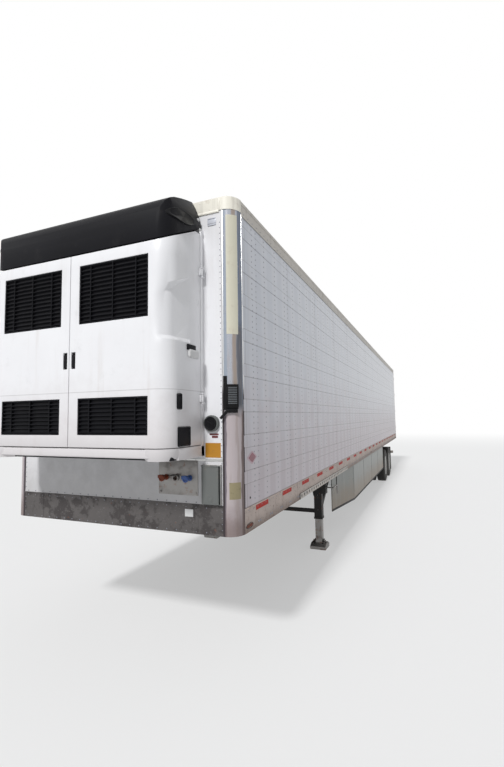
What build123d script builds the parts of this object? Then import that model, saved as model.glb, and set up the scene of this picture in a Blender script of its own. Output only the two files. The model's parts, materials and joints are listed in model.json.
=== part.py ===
from build123d import *

import math
import os

# A 53-foot refrigerated van semi trailer, in millimetres.
# +Z is up, the front wall faces -Y and the road side (the driver's side) is +X, which the names call left.
# The origin is on the ground, at the centre of the overall box.

# Overall sizes of the insulated body.
BODY_LENGTH = 16154.0
BODY_WIDTH = 2591.0
RAIL_TOP = 4100.0
RAIL_BOTTOM = 1170.0
ROOF_CROWN = 15.0

# Walls, roof and floor.
SIDE_WALL = 56.0
FRONT_WALL = 100.0
ROOF_THICKNESS = 65.0
FLOOR_TOP = 1400.0
FLOOR_RIB_HEIGHT = 24.0
FLOOR_RIB_WIDTH = 45.0
FLOOR_RIB_PITCH = 123.0
BOTTOM_RAIL_HEIGHT = 205.0
TOP_RAIL_HEIGHT = 145.0
SKIN_RECESS = 4.5
CORNER_RADIUS = 128.0
CAP_PROUD = 8.0
CAP_HEIGHT = 120.0
FRONT_SILL_HEIGHT = 250.0

# Shallow pressed beads along the side skins.
BEAD_PITCH = 311.0
BEAD_WIDTH = 112.0
BEAD_DEPTH = 4.0
BEAD_SLOPE = 8.0
FIRST_BEAD = 1638.0

# Underframe.
CROSSMEMBER_HEIGHT = 102.0
CROSSMEMBER_PITCH = 305.0
CROSSMEMBER_FLANGE = 60.0
CROSSMEMBER_WEB = 5.0
FLANGE_THICKNESS = 6.0
PAN_THICKNESS = 4.0
FIRST_CROSSMEMBER = 430.0

# Upper coupler and kingpin.
KINGPIN_SETBACK = 914.0
COUPLER_WIDTH = 1219.0
COUPLER_LENGTH = 1350.0
COUPLER_PLATE = 10.0
KINGPIN_SHOULDER_R = 36.5
KINGPIN_NECK_R = 25.4
KINGPIN_HEAD_R = 35.7
KINGPIN_SHOULDER = 23.0
KINGPIN_NECK = 39.0
KINGPIN_HEAD = 22.0
KINGPIN_FLANGE = (900.0, 180.0, 8.0)
KINGPIN_GAP = 0.3

# Rear frame and its two doors.
REAR_FRAME = 100.0
REAR_POST = 70.0
DOOR_THICKNESS = 70.0
DOOR_GAP = 6.0
DOOR_MEETING_GAP = 8.0
DOOR_EDGE_BEVEL = 10.0
DOOR_STOP = 22.0
HINGE_COUNT = 4
HINGE_MARGIN = 230.0
HINGE_PIN_OFFSET = 54.0
HINGE_PIN_R = 6.0
HINGE_KNUCKLE_R = 12.0
HINGE_KNUCKLE_LENGTH = 70.0
HINGE_LUG = 16.0
HINGE_STRAP = 8.0
HINGE_STRAP_LENGTH = 330.0
HINGE_CLEARANCE = 0.4
LOCK_ROD_R = 13.5
LOCK_ROD_STANDOFF = 8.0
LOCK_ROD_PLACES = (265.0, 905.0)
LOCK_HANDLE_HEIGHT = 620.0
LOCK_HANDLE_REACH = 260.0
LOCK_KEEPER = (34.0, 24.0)
LOCK_KEEPER_INSET = 60.0
DOCK_BUMPER_PROUD = 70.0
DOCK_BUMPER = (230.0, 150.0)
DOCK_BUMPER_X = 880.0

# Rear underride guard.
GUARD_WIDTH = 2300.0
GUARD_BAR = 100.0
GUARD_BOTTOM = 540.0
GUARD_POST_X = 700.0
GUARD_POST = 110.0
GUARD_GUSSET = 300.0
GUARD_GUSSET_THICKNESS = 20.0

# Landing gear, wound down to the ground.
GEAR_SETBACK = 3830.0
GEAR_X = 985.0
GEAR_OUTER_TUBE = 125.0
GEAR_OUTER_BOTTOM = 470.0
GEAR_TUBE_WALL = 8.0
GEAR_CLEARANCE = 0.3
GEAR_WING = 8.0
FOOT_LENGTH = 260.0
FOOT_WIDTH = 250.0
FOOT_HEIGHT = 90.0
FOOT_FLARE = 15.0
FOOT_LIP = 20.0
FOOT_HEADROOM = 60.0
GEAR_WING_REACH = 260.0
GEAR_WING_HEIGHT = 330.0
GEARBOX = (70.0, 140.0, 200.0)
GEARBOX_DROP = 90.0
GEAR_BRACE = 50.0
GEAR_BRACE_RUN = 900.0
GEAR_BRACE_RISE = 90.0
GEAR_CROSS_BAR = (40.0, 60.0)
GEAR_SHAFT_R = 16.0
CRANK_R = 12.0
CRANK_ARM = 330.0
CRANK_GRIP = 150.0
CRANK_INSET = 62.0
CRANK_DROP = 190.0

# Side skirts.
SKIRT_START = 4420.0
SKIRT_FULL = 5650.0
SKIRT_END = 11040.0
SKIRT_BOTTOM = 480.0
SKIRT_THICKNESS = 12.0
SKIRT_TUCK = 185.0
SKIRT_INSET = 32.0
STRUT_SIZE = 40.0
STRUT_REACH = 520.0
STRUT_EVERY = 4
STRUT_RISE = 120.0

# Fuel tank for the cooling unit.
TANK_RADIUS = 255.0
TANK_LENGTH = 950.0
TANK_DROP = 30.0
TANK_CROSSMEMBER = 20
TANK_X = 700.0
TANK_STRAP = 45.0
TANK_STRAP_THICKNESS = 6.0
TANK_DOME = 45.0
TANK_NECK_R = 32.0
TANK_NECK_REACH = 60.0

# Sliding tandem.
TANDEM_SETBACK = 12255.0
AXLE_SPACING = 1245.0
TYRE_RADIUS = 508.0
TYRE_WIDTH = 275.0
TYRE_BEAD_INSET = 32.5
TYRE_SHOULDER = 20.0
TYRE_SHOULDER_DROP = 100.0
DUAL_SPACING = 330.0
BEAD_SEAT_R = 290.0
SEAT_CLEARANCE = 0.3
AXLE_TUBE_R = 63.5
AXLE_SHOULDER = 193.0
SHIELD_R = 205.0
SHIELD_THICKNESS = 6.0
CHAMBER_X = 350.0
CHAMBER_R = 84.0
CHAMBER_LENGTH = 170.0
CHAMBER_AHEAD = 190.0
SPINDLE_R = 45.0
SPINDLE_CLEARANCE = 0.4
SPINDLE_REACH = 112.0
SPINDLE_GAP = 6.0
HUB_FACE = 185.0
HUB_NECK_R = 68.0
HUB_R = 112.0
DISC_FACE = 16.0
DISC_R = 212.0
DRUM_R = 220.0
DRUM_BACK = 186.0
RIM_THICKNESS = 20.0
RIM_OUT = 122.0
SLIDER_X = 540.0
SLIDER_RAIL_WIDTH = 90.0
SLIDER_RAIL_HEIGHT = 115.0
SLIDER_TOP = 1040.0
SLIDER_GAP = 0.3
SLIDER_FRONT = 1330.0
SLIDER_BACK = 1440.0
SLIDE_TRAVEL = 2100.0
BODY_RAIL_WIDTH = 80.0
BODY_RAIL_AHEAD = 120.0
BODY_RAIL_BEHIND = 60.0
ARM_WIDTH = 80.0
AXLE_SEAT = 140.0
HANGER_REACH = 520.0
HANGER_PLATE = 10.0
HANGER_BOTTOM = 560.0
HANGER_TOP_HALF = 90.0
HANGER_FOOT_HALF = 60.0
ARM_EYE = (50.0, 600.0, 690.0)
ARM_HUMP = 125.0
ARM_TAIL = 45.0
ARM_TAIL_PLATE = 40.0
CROSS_TUBE = 80.0
CROSS_TUBE_INSET = 18.0
FLAP_ARM = 46.0
SPRING_REACH = 340.0
SPRING_RADIUS = 130.0
FLAP_BEHIND_TYRE = 110.0
FLAP_THICKNESS = 9.0
FLAP_BOTTOM = 170.0
FLAP_WIDTH = 600.0
FLAP_INSET = 12.0
AIR_TANK_R = 120.0
AIR_TANK_LENGTH = 760.0

# Cooling unit on the front wall.
UNIT_WIDTH = 1960.0
UNIT_DEPTH = 560.0
UNIT_BOTTOM = 1830.0
UNIT_HEAD_GAP = 8.0
UNIT_RISE = 10.0
UNIT_SHOULDER = ((0.0, 345.0), (10.0, 280.0), (35.0, 160.0), (80.0, 50.0), (110.0, 0.0))
UNIT_CORNER_R = 150.0
UNIT_TOE = 60.0
UNIT_SHELL = 28.0
UNIT_FLANGE = 55.0
UNIT_DOOR_GAP = 6.0
UNIT_HOOD_FRONT = 555.0
UNIT_HOOD_BACK = 336.0
UNIT_SPLIT_LEVEL = 130.0
UNIT_SPLIT_GAP = 11.0
UNIT_HINGE_PROUD = 14.0
UNIT_HINGE_R = 11.0
UNIT_PIN_R = 5.0
UNIT_HINGE_LENGTH = 60.0
UNIT_LOW_HINGE = 490.0
UNIT_HIGH_HINGE = 354.0
UNIT_SIDE_FRAME = 60.0
UNIT_FLOOR = 30.0
UNIT_TRAY = 100.0
UNIT_BACK = 12.0
ENGINE = (1000.0, 330.0, 720.0)

# Return-air bulkhead inside, on the front wall.
BULKHEAD_WIDTH = 2300.0
BULKHEAD_DEPTH = 90.0
BULKHEAD_FOOT = 160.0
BULKHEAD_TOP = 3560.0
BULKHEAD_RIBS = 10
BULKHEAD_RIB = 22.0
BULKHEAD_SKIN = 8.0

# Small fittings on the front.
BOX_X = 1054.0
BOX_WIDTH = 178.0
BOX_HEIGHT = 325.0
BOX_DEPTH = 30.0
BOX_BOTTOM = 1430.0
BOX_WALL = 4.0
LID_GAP = 5.0
LID_THICKNESS = 4.0
LID_PIN_R = 3.5
LID_KNUCKLE_R = 8.0
LID_INSET = 12.0
CAN_GAP = 12.0
CAN_Z = 2108.0
CAN_R = 66.0
CAN_DEPTH = 45.0
CAN_RIM = 8.0
DISPLAY_BOTTOM = 2225.0
DISPLAY_HEIGHT = 210.0
DISPLAY_WIDTH = 100.0
DISPLAY_DEPTH = 38.0
DISPLAY_TURN = 34.0
PLATE_X = 715.0
PLATE_Z = 1640.0
PLATE_WIDTH = 400.0
PLATE_HEIGHT = 300.0
PLATE_THICKNESS = 6.0
COUPLING_NECK = 32.0
COUPLING_HEAD = 30.0
COUPLING_REACH = 62.0
SOCKET_R = 22.0
SOCKET_WALL = 5.0
SOCKET_DEPTH = 46.0
COUPLING_X = 120.0

# The pierced strip and the lamps.
PIERCED_START = 1720.0
PIERCED_END = 4800.0
PIERCED_HEIGHT = 70.0
PIERCED_THICKNESS = 3.0
SIDE_LAMP_INSET = 222.0
SIDE_LAMP_RISE = 53.0
SIDE_LAMP = (128.0, 30.0, 4.0)
TAIL_LAMPS_X = (1075.0, 1195.0)
TAIL_LAMP_R = 50.0
TOP_LAMPS_X = (0.0, 150.0, 1230.0)
TOP_LAMP = (70.0, 30.0)
REAR_LAMP_PROUD = 14.0

# Flat facets in a full turn of the round forms that are drawn faceted.
WHEEL_FACETS = 20
TANK_FACETS = 12
SPRING_FACETS = 8
ROD_FACETS = 8
LOCK_ROD_FACETS = 6
BORE_FACETS = 12
CORNER_FACETS = 3

# Places worked out from the sizes above.
FRONT_Y = (UNIT_DEPTH - BODY_LENGTH - DOCK_BUMPER_PROUD) / 2
REAR_Y = FRONT_Y + BODY_LENGTH
HALF_WIDTH = BODY_WIDTH / 2
SKIN_X = HALF_WIDTH - SKIN_RECESS
LINER_X = SKIN_X - SIDE_WALL
BOTTOM_RAIL_TOP = RAIL_BOTTOM + BOTTOM_RAIL_HEIGHT
TOP_RAIL_BOTTOM = RAIL_TOP - TOP_RAIL_HEIGHT
CAP_BOTTOM = RAIL_TOP - CAP_HEIGHT
POST_END_Y = FRONT_Y + CORNER_RADIUS
KINGPIN_Y = FRONT_Y + KINGPIN_SETBACK
CORNER_X = HALF_WIDTH - SKIN_RECESS / 2
FRAME_Y = REAR_Y - REAR_FRAME
DECK_BOTTOM = RAIL_BOTTOM + CROSSMEMBER_HEIGHT
HINGE_X = HALF_WIDTH - 7.5
HINGE_Y = REAR_Y + HINGE_PIN_OFFSET
DOOR_OUTER_X = HALF_WIDTH - REAR_POST - DOOR_GAP
DOOR_BOTTOM = FLOOR_TOP + DOOR_GAP
DOOR_TOP = TOP_RAIL_BOTTOM - DOOR_GAP
TANDEM_Y = FRONT_Y + TANDEM_SETBACK
AXLES_Y = {"front": TANDEM_Y - AXLE_SPACING / 2, "rear": TANDEM_Y + AXLE_SPACING / 2}
DUAL_X = HALF_WIDTH - TYRE_WIDTH / 2 - DUAL_SPACING / 2
SLIDER_BOTTOM = SLIDER_TOP - SLIDER_RAIL_HEIGHT
FLAP_Y = AXLES_Y["rear"] + TYRE_RADIUS + FLAP_BEHIND_TYRE
FLAP_TOP = SLIDER_BOTTOM + FLAP_ARM + 10
UNIT_FRONT_Y = FRONT_Y - UNIT_DEPTH
UNIT_TOP = RAIL_TOP + UNIT_RISE
UNIT_SPLIT_FRONT = UNIT_TOP - UNIT_HOOD_FRONT
UNIT_SPLIT_BACK = UNIT_TOP - UNIT_HOOD_BACK
UNIT_HINGES_Z = (UNIT_BOTTOM + UNIT_LOW_HINGE, UNIT_SPLIT_BACK - UNIT_HIGH_HINGE)
UNIT_HINGE_X = UNIT_WIDTH / 2 + UNIT_HINGE_PROUD
UNIT_HINGE_Y = FRONT_Y - UNIT_FLANGE - UNIT_DOOR_GAP / 2
CAN_X = UNIT_WIDTH / 2 + CAN_GAP + CAN_R
SIDES = {"left": 1, "right": -1}


def block(x, y, z):
    """A box between two corners, each argument a (low, high) pair in either order."""
    (x0, x1), (y0, y1), (z0, z1) = sorted(x), sorted(y), sorted(z)
    return Pos(x0, y0, z0) * Box(x1 - x0, y1 - y0, z1 - z0, align=(Align.MIN,) * 3)


def along_y(outline, y0, y1):
    """A closed outline of (x, z) points, drawn out along Y."""
    face = make_face(Polyline(*[(x, y0, z) for x, z in outline], close=True))
    return extrude(face, amount=y1 - y0, dir=(0, 1, 0))


def along_x(outline, x0, x1):
    """A closed outline of (y, z) points, drawn out along X."""
    face = make_face(Polyline(*[(x0, y, z) for y, z in outline], close=True))
    return extrude(face, amount=x1 - x0, dir=(1, 0, 0))


def tube_x(radius, x0, x1, y, z):
    """A round bar along X."""
    return Pos((x0 + x1) / 2, y, z) * Rot(0, 90, 0) * Cylinder(radius, abs(x1 - x0))


def tube_y(radius, y0, y1, x, z):
    """A round bar along Y."""
    return Pos(x, (y0 + y1) / 2, z) * Rot(90, 0, 0) * Cylinder(radius, abs(y1 - y0))


def tube_z(radius, z0, z1, x, y):
    """A round bar along Z."""
    return Pos(x, y, (z0 + z1) / 2) * Cylinder(radius, abs(z1 - z0))


def spun_z(outline, x, y):
    """A closed outline of (radius, z) points, turned about a vertical line."""
    face = make_face(Polyline(*[(r, 0, z) for r, z in outline], close=True))
    return Pos(x, y, 0) * revolve(face, Axis.Z)


def bar(radius, start, end, facets=ROD_FACETS):
    """A straight rod between two points with flat facets; its corners reach the radius."""
    path = Vector(*end) - Vector(*start)
    plane = Plane(origin=start, z_dir=path)
    return extrude(plane * RegularPolygon(radius, facets), amount=path.length)


def bore(radius, start, end, facets=BORE_FACETS):
    """What a hole takes out between two points; the middles of its facets lie at the radius."""
    return bar(radius / math.cos(math.pi / facets), start, end, facets)


def faceted_x(outline, facets):
    """A closed outline of (x, radius) points turned about X in flat facets, one of them facing down."""
    reach = 1 / math.cos(math.pi / facets)
    turns = [(n + 0.5) * 2 * math.pi / facets for n in range(facets)]
    rings = []
    for x, r in outline:
        rings.append([Vector(x, r * reach * math.sin(a), -r * reach * math.cos(a)) for a in turns])
    faces = []
    for ring, ahead in zip(rings, rings[1:] + rings[:1]):
        for n in range(facets):
            m = (n + 1) % facets
            corners = []
            for point in (ring[n], ring[m], ahead[m], ahead[n]):
                if all((point - known).length > 0.01 for known in corners):
                    corners.append(point)
            if len(corners) > 2:
                faces.append(Face(Wire.make_polygon(corners)))
    return Solid(Shell(faces))


def faceted_z(outline, facets, x, y):
    """The same about a vertical line, from (z, radius) points."""
    return Pos(x, y, 0) * Rot(0, -90, 0) * faceted_x(outline, facets)


def mirrored(piece):
    """The same piece on the right-hand side."""
    return mirror(piece, about=Plane.YZ)


def both_sides(piece):
    return [piece, mirrored(piece)]


def side_wall():
    """An insulated wall whose skin has beads at an even pitch."""
    outline = [(LINER_X, BOTTOM_RAIL_TOP), (SKIN_X, BOTTOM_RAIL_TOP)]
    middle = FIRST_BEAD
    while middle + BEAD_WIDTH < TOP_RAIL_BOTTOM:
        low, high = middle - BEAD_WIDTH / 2, middle + BEAD_WIDTH / 2
        outline += [
            (SKIN_X, low),
            (SKIN_X + BEAD_DEPTH, low + BEAD_SLOPE),
            (SKIN_X + BEAD_DEPTH, high - BEAD_SLOPE),
            (SKIN_X, high),
        ]
        middle += BEAD_PITCH
    outline += [(SKIN_X, TOP_RAIL_BOTTOM), (LINER_X, TOP_RAIL_BOTTOM)]
    return along_y(outline, POST_END_Y, FRAME_Y)


def front_corner():
    """The rounded, insulated corner post under its bright wrap."""
    x_in = CORNER_X - CORNER_RADIUS
    liner_y = FRONT_Y + FRONT_WALL
    half = math.sqrt(0.5) * CORNER_RADIUS
    z = RAIL_BOTTOM
    edges = [
        ThreePointArc(
            (x_in, FRONT_Y, z), (x_in + half, POST_END_Y - half, z), (CORNER_X, POST_END_Y, z)
        ),
        Polyline(
            (CORNER_X, POST_END_Y, z),
            (LINER_X, POST_END_Y, z),
            (LINER_X, liner_y, z),
            (x_in, liner_y, z),
            (x_in, FRONT_Y, z),
        ),
    ]
    return extrude(make_face(edges), amount=CAP_BOTTOM - z, dir=(0, 0, 1))


def front_wall():
    x = CORNER_X - CORNER_RADIUS
    low = RAIL_BOTTOM + FRONT_SILL_HEIGHT
    return block((-x, x), (FRONT_Y, FRONT_Y + FRONT_WALL), (low, CAP_BOTTOM))


def front_sill():
    x = CORNER_X - CORNER_RADIUS
    high = RAIL_BOTTOM + FRONT_SILL_HEIGHT
    return block((-x, x), (FRONT_Y, FRONT_Y + FRONT_WALL), (RAIL_BOTTOM, high))


def front_cap():
    """The header across the front, rounded at both corners to meet the top rails."""
    radius = CORNER_RADIUS + CAP_PROUD
    x, y = HALF_WIDTH - radius, POST_END_Y - radius
    half = math.sqrt(0.5) * radius
    z = CAP_BOTTOM
    edges = [
        ThreePointArc((x, y, z), (x + half, POST_END_Y - half, z), (HALF_WIDTH, POST_END_Y, z)),
        Line((HALF_WIDTH, POST_END_Y, z), (-HALF_WIDTH, POST_END_Y, z)),
        ThreePointArc((-HALF_WIDTH, POST_END_Y, z), (-x - half, POST_END_Y - half, z), (-x, y, z)),
        Line((-x, y, z), (x, y, z)),
    ]
    shape = extrude(make_face(edges), amount=CAP_HEIGHT, dir=(0, 0, 1))
    top_front = [
        e for e in shape.edges() if e.center().Z > RAIL_TOP - 1 and e.center().Y < POST_END_Y - 1
    ]
    return chamfer(top_front, CAP_PROUD)


def top_rail():
    """A top rail section with a small drip lip over the skin."""
    outline = [
        (LINER_X, TOP_RAIL_BOTTOM),
        (HALF_WIDTH, TOP_RAIL_BOTTOM),
        (HALF_WIDTH, RAIL_TOP - 12),
        (HALF_WIDTH - 14, RAIL_TOP),
        (LINER_X, RAIL_TOP),
    ]
    return along_y(outline, POST_END_Y, FRAME_Y)


def bottom_rail():
    """A bottom rail section with a flange bent in under the crossmembers' ends."""
    outline = [
        (LINER_X, RAIL_BOTTOM),
        (HALF_WIDTH, RAIL_BOTTOM),
        (HALF_WIDTH, BOTTOM_RAIL_TOP - 6),
        (HALF_WIDTH - 6, BOTTOM_RAIL_TOP),
        (LINER_X, BOTTOM_RAIL_TOP),
    ]
    return along_y(outline, POST_END_Y, FRAME_Y)


def roof():
    """A crowned, insulated roof between the top rails."""
    low = RAIL_TOP - ROOF_THICKNESS
    y0 = POST_END_Y
    edges = [
        ThreePointArc((-LINER_X, y0, RAIL_TOP), (0, y0, RAIL_TOP + ROOF_CROWN), (LINER_X, y0, RAIL_TOP)),
        Polyline(
            (LINER_X, y0, RAIL_TOP), (LINER_X, y0, low), (-LINER_X, y0, low), (-LINER_X, y0, RAIL_TOP)
        ),
    ]
    return extrude(make_face(edges), amount=FRAME_Y - y0, dir=(0, 1, 0))


def floor():
    """The insulated deck with lengthwise ribs on top, so that air can pass under the load."""
    root = FLOOR_TOP - FLOOR_RIB_HEIGHT
    count = int((LINER_X - FLOOR_RIB_PITCH / 2) // FLOOR_RIB_PITCH)
    outline = [(-LINER_X, DECK_BOTTOM), (LINER_X, DECK_BOTTOM), (LINER_X, root)]
    for n in range(count, -count - 1, -1):
        x = n * FLOOR_RIB_PITCH
        half = FLOOR_RIB_WIDTH / 2
        outline += [(x + half, root), (x + half, FLOOR_TOP), (x - half, FLOOR_TOP), (x - half, root)]
    outline.append((-LINER_X, root))
    return along_y(outline, FRONT_Y + FRONT_WALL, FRAME_Y)


def crossmember_y(number):
    """The middle of a crossmember, counted from the front."""
    return FRONT_Y + FIRST_CROSSMEMBER + number * CROSSMEMBER_PITCH


def crossmembers():
    """Angle-shaped beams under a thin pan, from the front sill to the rear frame."""
    top = DECK_BOTTOM
    pan_z = (top - PAN_THICKNESS, top)
    pan = block((-LINER_X, LINER_X), (FRONT_Y + FRONT_WALL, FRAME_Y), pan_z)
    beams = []
    half = CROSSMEMBER_FLANGE / 2
    low, high = RAIL_BOTTOM + FLANGE_THICKNESS, top - PAN_THICKNESS
    count = int((BODY_LENGTH - REAR_FRAME - FIRST_CROSSMEMBER - half) // CROSSMEMBER_PITCH) + 1
    for y in [crossmember_y(n) for n in range(count)]:
        outline = [
            (y - half, RAIL_BOTTOM),
            (y + half, RAIL_BOTTOM),
            (y + half, low),
            (y - half + CROSSMEMBER_WEB, low),
            (y - half + CROSSMEMBER_WEB, high),
            (y - half, high),
        ]
        beams.append(along_x(outline, -LINER_X, LINER_X))
    return pan.fuse(*beams)


def upper_coupler():
    """The plate that rests on a fifth wheel, with cut front corners and a hole for the kingpin."""
    half = COUPLER_WIDTH / 2
    front, back = FRONT_Y + FRONT_WALL / 2, FRONT_Y + FRONT_WALL / 2 + COUPLER_LENGTH
    notch = COUPLER_WIDTH / 6
    z = RAIL_BOTTOM - COUPLER_PLATE
    outline = [
        (-half, front + notch, z),
        (-half + notch, front, z),
        (half - notch, front, z),
        (half, front + notch, z),
        (half, back, z),
        (-half, back, z),
    ]
    plate = extrude(make_face(Polyline(*outline, close=True)), amount=COUPLER_PLATE, dir=(0, 0, 1))
    ends = [(0, KINGPIN_Y, z - 1), (0, KINGPIN_Y, z + COUPLER_PLATE + 1)]
    return plate - bore(KINGPIN_SHOULDER_R + KINGPIN_GAP, *ends)


def kingpin():
    """The pin under its flange, which lies on top of the coupler plate between two crossmembers."""
    neck_top = RAIL_BOTTOM - COUPLER_PLATE - KINGPIN_SHOULDER
    head_top = neck_top - KINGPIN_NECK
    low = head_top - KINGPIN_HEAD
    outline = [
        (0, RAIL_BOTTOM),
        (KINGPIN_SHOULDER_R, RAIL_BOTTOM),
        (KINGPIN_SHOULDER_R, neck_top),
        (KINGPIN_NECK_R, neck_top),
        (KINGPIN_NECK_R, head_top),
        (KINGPIN_HEAD_R, head_top),
        (KINGPIN_HEAD_R, low),
        (0, low),
    ]
    width, length, height = KINGPIN_FLANGE
    flange = block(
        (-width / 2, width / 2),
        (KINGPIN_Y - length / 2, KINGPIN_Y + length / 2),
        (RAIL_BOTTOM, RAIL_BOTTOM + height),
    )
    return spun_z(outline, 0, KINGPIN_Y).fuse(flange)


def hinge_heights():
    """The middle of each rear hinge, evenly spaced up the door."""
    step = (DOOR_TOP - DOOR_BOTTOM - 2 * HINGE_MARGIN) / (HINGE_COUNT - 1)
    return [DOOR_BOTTOM + HINGE_MARGIN + n * step for n in range(HINGE_COUNT)]


def hinge_lugs(z):
    """Two lugs on a rear post with the pin that they hold."""
    half = HINGE_KNUCKLE_LENGTH / 2 + DOOR_GAP / 2
    lugs = []
    for low in (z - half - HINGE_LUG, z + half):
        lugs.append(
            block(
                (HINGE_X - HINGE_KNUCKLE_R, HINGE_X + HINGE_KNUCKLE_R),
                (REAR_Y - 1, HINGE_Y + HINGE_KNUCKLE_R),
                (low, low + HINGE_LUG),
            )
        )
    ends = [(HINGE_X, HINGE_Y, z + s * (half + HINGE_LUG)) for s in (-1, 1)]
    pin = bar(HINGE_PIN_R, *ends)
    return [*lugs, pin]


def rear_frame():
    """Posts, header and sill round the door opening, with a stop inside and the hinge lugs outside."""
    outer = block((-HALF_WIDTH, HALF_WIDTH), (FRAME_Y, REAR_Y), (RAIL_BOTTOM, RAIL_TOP + ROOF_CROWN))
    inner_x = HALF_WIDTH - REAR_POST
    doorway_y = (REAR_Y - DOOR_THICKNESS - DOOR_GAP, REAR_Y + 1)
    doorway = block((-inner_x, inner_x), doorway_y, (FLOOR_TOP, TOP_RAIL_BOTTOM))
    stop_x = inner_x - DOOR_STOP
    throat = block(
        (-stop_x, stop_x), (FRAME_Y - 1, REAR_Y), (FLOOR_TOP, TOP_RAIL_BOTTOM - DOOR_STOP)
    )
    frame = outer - doorway - throat
    lugs = [piece for z in hinge_heights() for piece in hinge_lugs(z)]
    return frame.fuse(*lugs, *[mirrored(piece) for piece in lugs])


def door_panel():
    """The left door leaf, bevelled at its free edge so that the two leaves pass."""
    y_out, y_in = REAR_Y, REAR_Y - DOOR_THICKNESS
    free = DOOR_MEETING_GAP / 2
    z = DOOR_BOTTOM
    outline = [
        (free, y_out, z),
        (DOOR_OUTER_X, y_out, z),
        (DOOR_OUTER_X, y_in, z),
        (free + DOOR_EDGE_BEVEL, y_in, z),
    ]
    face = make_face(Polyline(*outline, close=True))
    return extrude(face, amount=DOOR_TOP - DOOR_BOTTOM, dir=(0, 0, 1))


def hinge_strap(z, hole):
    """A hinge knuckle and its strap, which runs flat on the door and rises to the pin at the post."""
    ends = [(HINGE_X, HINGE_Y, z + s * HINGE_KNUCKLE_LENGTH / 2) for s in (-1, 1)]
    knuckle = bar(HINGE_KNUCKLE_R, *ends)
    far_x = HINGE_X - HINGE_STRAP_LENGTH
    knee_x = DOOR_OUTER_X - 2 * HINGE_STRAP
    half = HINGE_KNUCKLE_LENGTH / 2 - 3
    outline = [
        (far_x, REAR_Y, z - half),
        (knee_x, REAR_Y, z - half),
        (HINGE_X, HINGE_Y - HINGE_STRAP, z - half),
        (HINGE_X, HINGE_Y, z - half),
        (knee_x - HINGE_STRAP / 2, REAR_Y + HINGE_STRAP, z - half),
        (far_x, REAR_Y + HINGE_STRAP, z - half),
    ]
    strap = extrude(make_face(Polyline(*outline, close=True)), amount=2 * half, dir=(0, 0, 1))
    return strap.fuse(knuckle) - hole


def lock_rod(place):
    """A lock rod in its keepers, from the header to the sill, with a handle across the door."""
    x = DOOR_OUTER_X - place
    y = REAR_Y + LOCK_ROD_STANDOFF + LOCK_ROD_R
    front = y + LOCK_ROD_R
    rod = bar(LOCK_ROD_R, (x, y, DOOR_BOTTOM + 8), (x, y, DOOR_TOP - 8), LOCK_ROD_FACETS)
    pieces = []
    wide, high = LOCK_KEEPER
    inset = LOCK_KEEPER_INSET
    for z in (DOOR_BOTTOM + inset, (DOOR_BOTTOM + DOOR_TOP) / 2, DOOR_TOP - inset):
        pieces.append(block((x - wide, x + wide), (REAR_Y, front - 3), (z - high, z + high)))
    z = DOOR_BOTTOM + LOCK_HANDLE_HEIGHT
    reach = -LOCK_HANDLE_REACH if place < DOOR_OUTER_X / 2 else LOCK_HANDLE_REACH
    pieces.append(block((x, x + reach), (front - 6, front + 4), (z - 17, z + 17)))
    pieces.append(block((x + reach, x + reach * 0.86), (REAR_Y, front + 2), (z - 26, z + 26)))
    return rod.fuse(*pieces)


def door_hardware():
    """The left door's hinges, the lowest bored round and the others in facets, and its lock rods."""
    radius = HINGE_PIN_R + HINGE_CLEARANCE
    hinges = []
    for number, z in enumerate(hinge_heights()):
        low, high = z - HINGE_KNUCKLE_LENGTH, z + HINGE_KNUCKLE_LENGTH
        faceted = bore(radius, (HINGE_X, HINGE_Y, low), (HINGE_X, HINGE_Y, high))
        round_one = tube_z(radius, low, high, HINGE_X, HINGE_Y)
        hinges.append(hinge_strap(z, faceted if number else round_one))
    return hinges + [lock_rod(place) for place in LOCK_ROD_PLACES]


def dock_bumper():
    width, height = DOCK_BUMPER
    z = RAIL_BOTTOM + 20
    shape = block(
        (DOCK_BUMPER_X - width / 2, DOCK_BUMPER_X + width / 2),
        (REAR_Y, REAR_Y + DOCK_BUMPER_PROUD),
        (z, z + height),
    )
    ends = [e for e in shape.edges().filter_by(Axis.X) if e.center().Y > REAR_Y + 1]
    return chamfer(ends, DOCK_BUMPER_PROUD / 4)


def rear_guard():
    """Two posts under the sill with a bar across, and gussets ahead of the posts."""
    y0, y1 = REAR_Y - 20 - GUARD_BAR, REAR_Y - 20
    bar = block((-GUARD_WIDTH / 2, GUARD_WIDTH / 2), (y0, y1), (GUARD_BOTTOM, GUARD_BOTTOM + GUARD_BAR))
    ahead = y0 - GUARD_GUSSET
    gusset = [
        (y0 + 1, RAIL_BOTTOM),
        (ahead, RAIL_BOTTOM),
        (ahead, RAIL_BOTTOM - 40),
        (y0 + 1, GUARD_BOTTOM + 2.5 * GUARD_BAR),
    ]
    pieces = []
    for side in SIDES.values():
        x = side * GUARD_POST_X
        post_z = (GUARD_BOTTOM + GUARD_BAR - 1, RAIL_BOTTOM)
        pieces.append(block((x - GUARD_POST / 2, x + GUARD_POST / 2), (y0, y1), post_z))
        pieces.append(along_x(gusset, x - GUARD_GUSSET_THICKNESS / 2, x + GUARD_GUSSET_THICKNESS / 2))
    return bar.fuse(*pieces)


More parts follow.
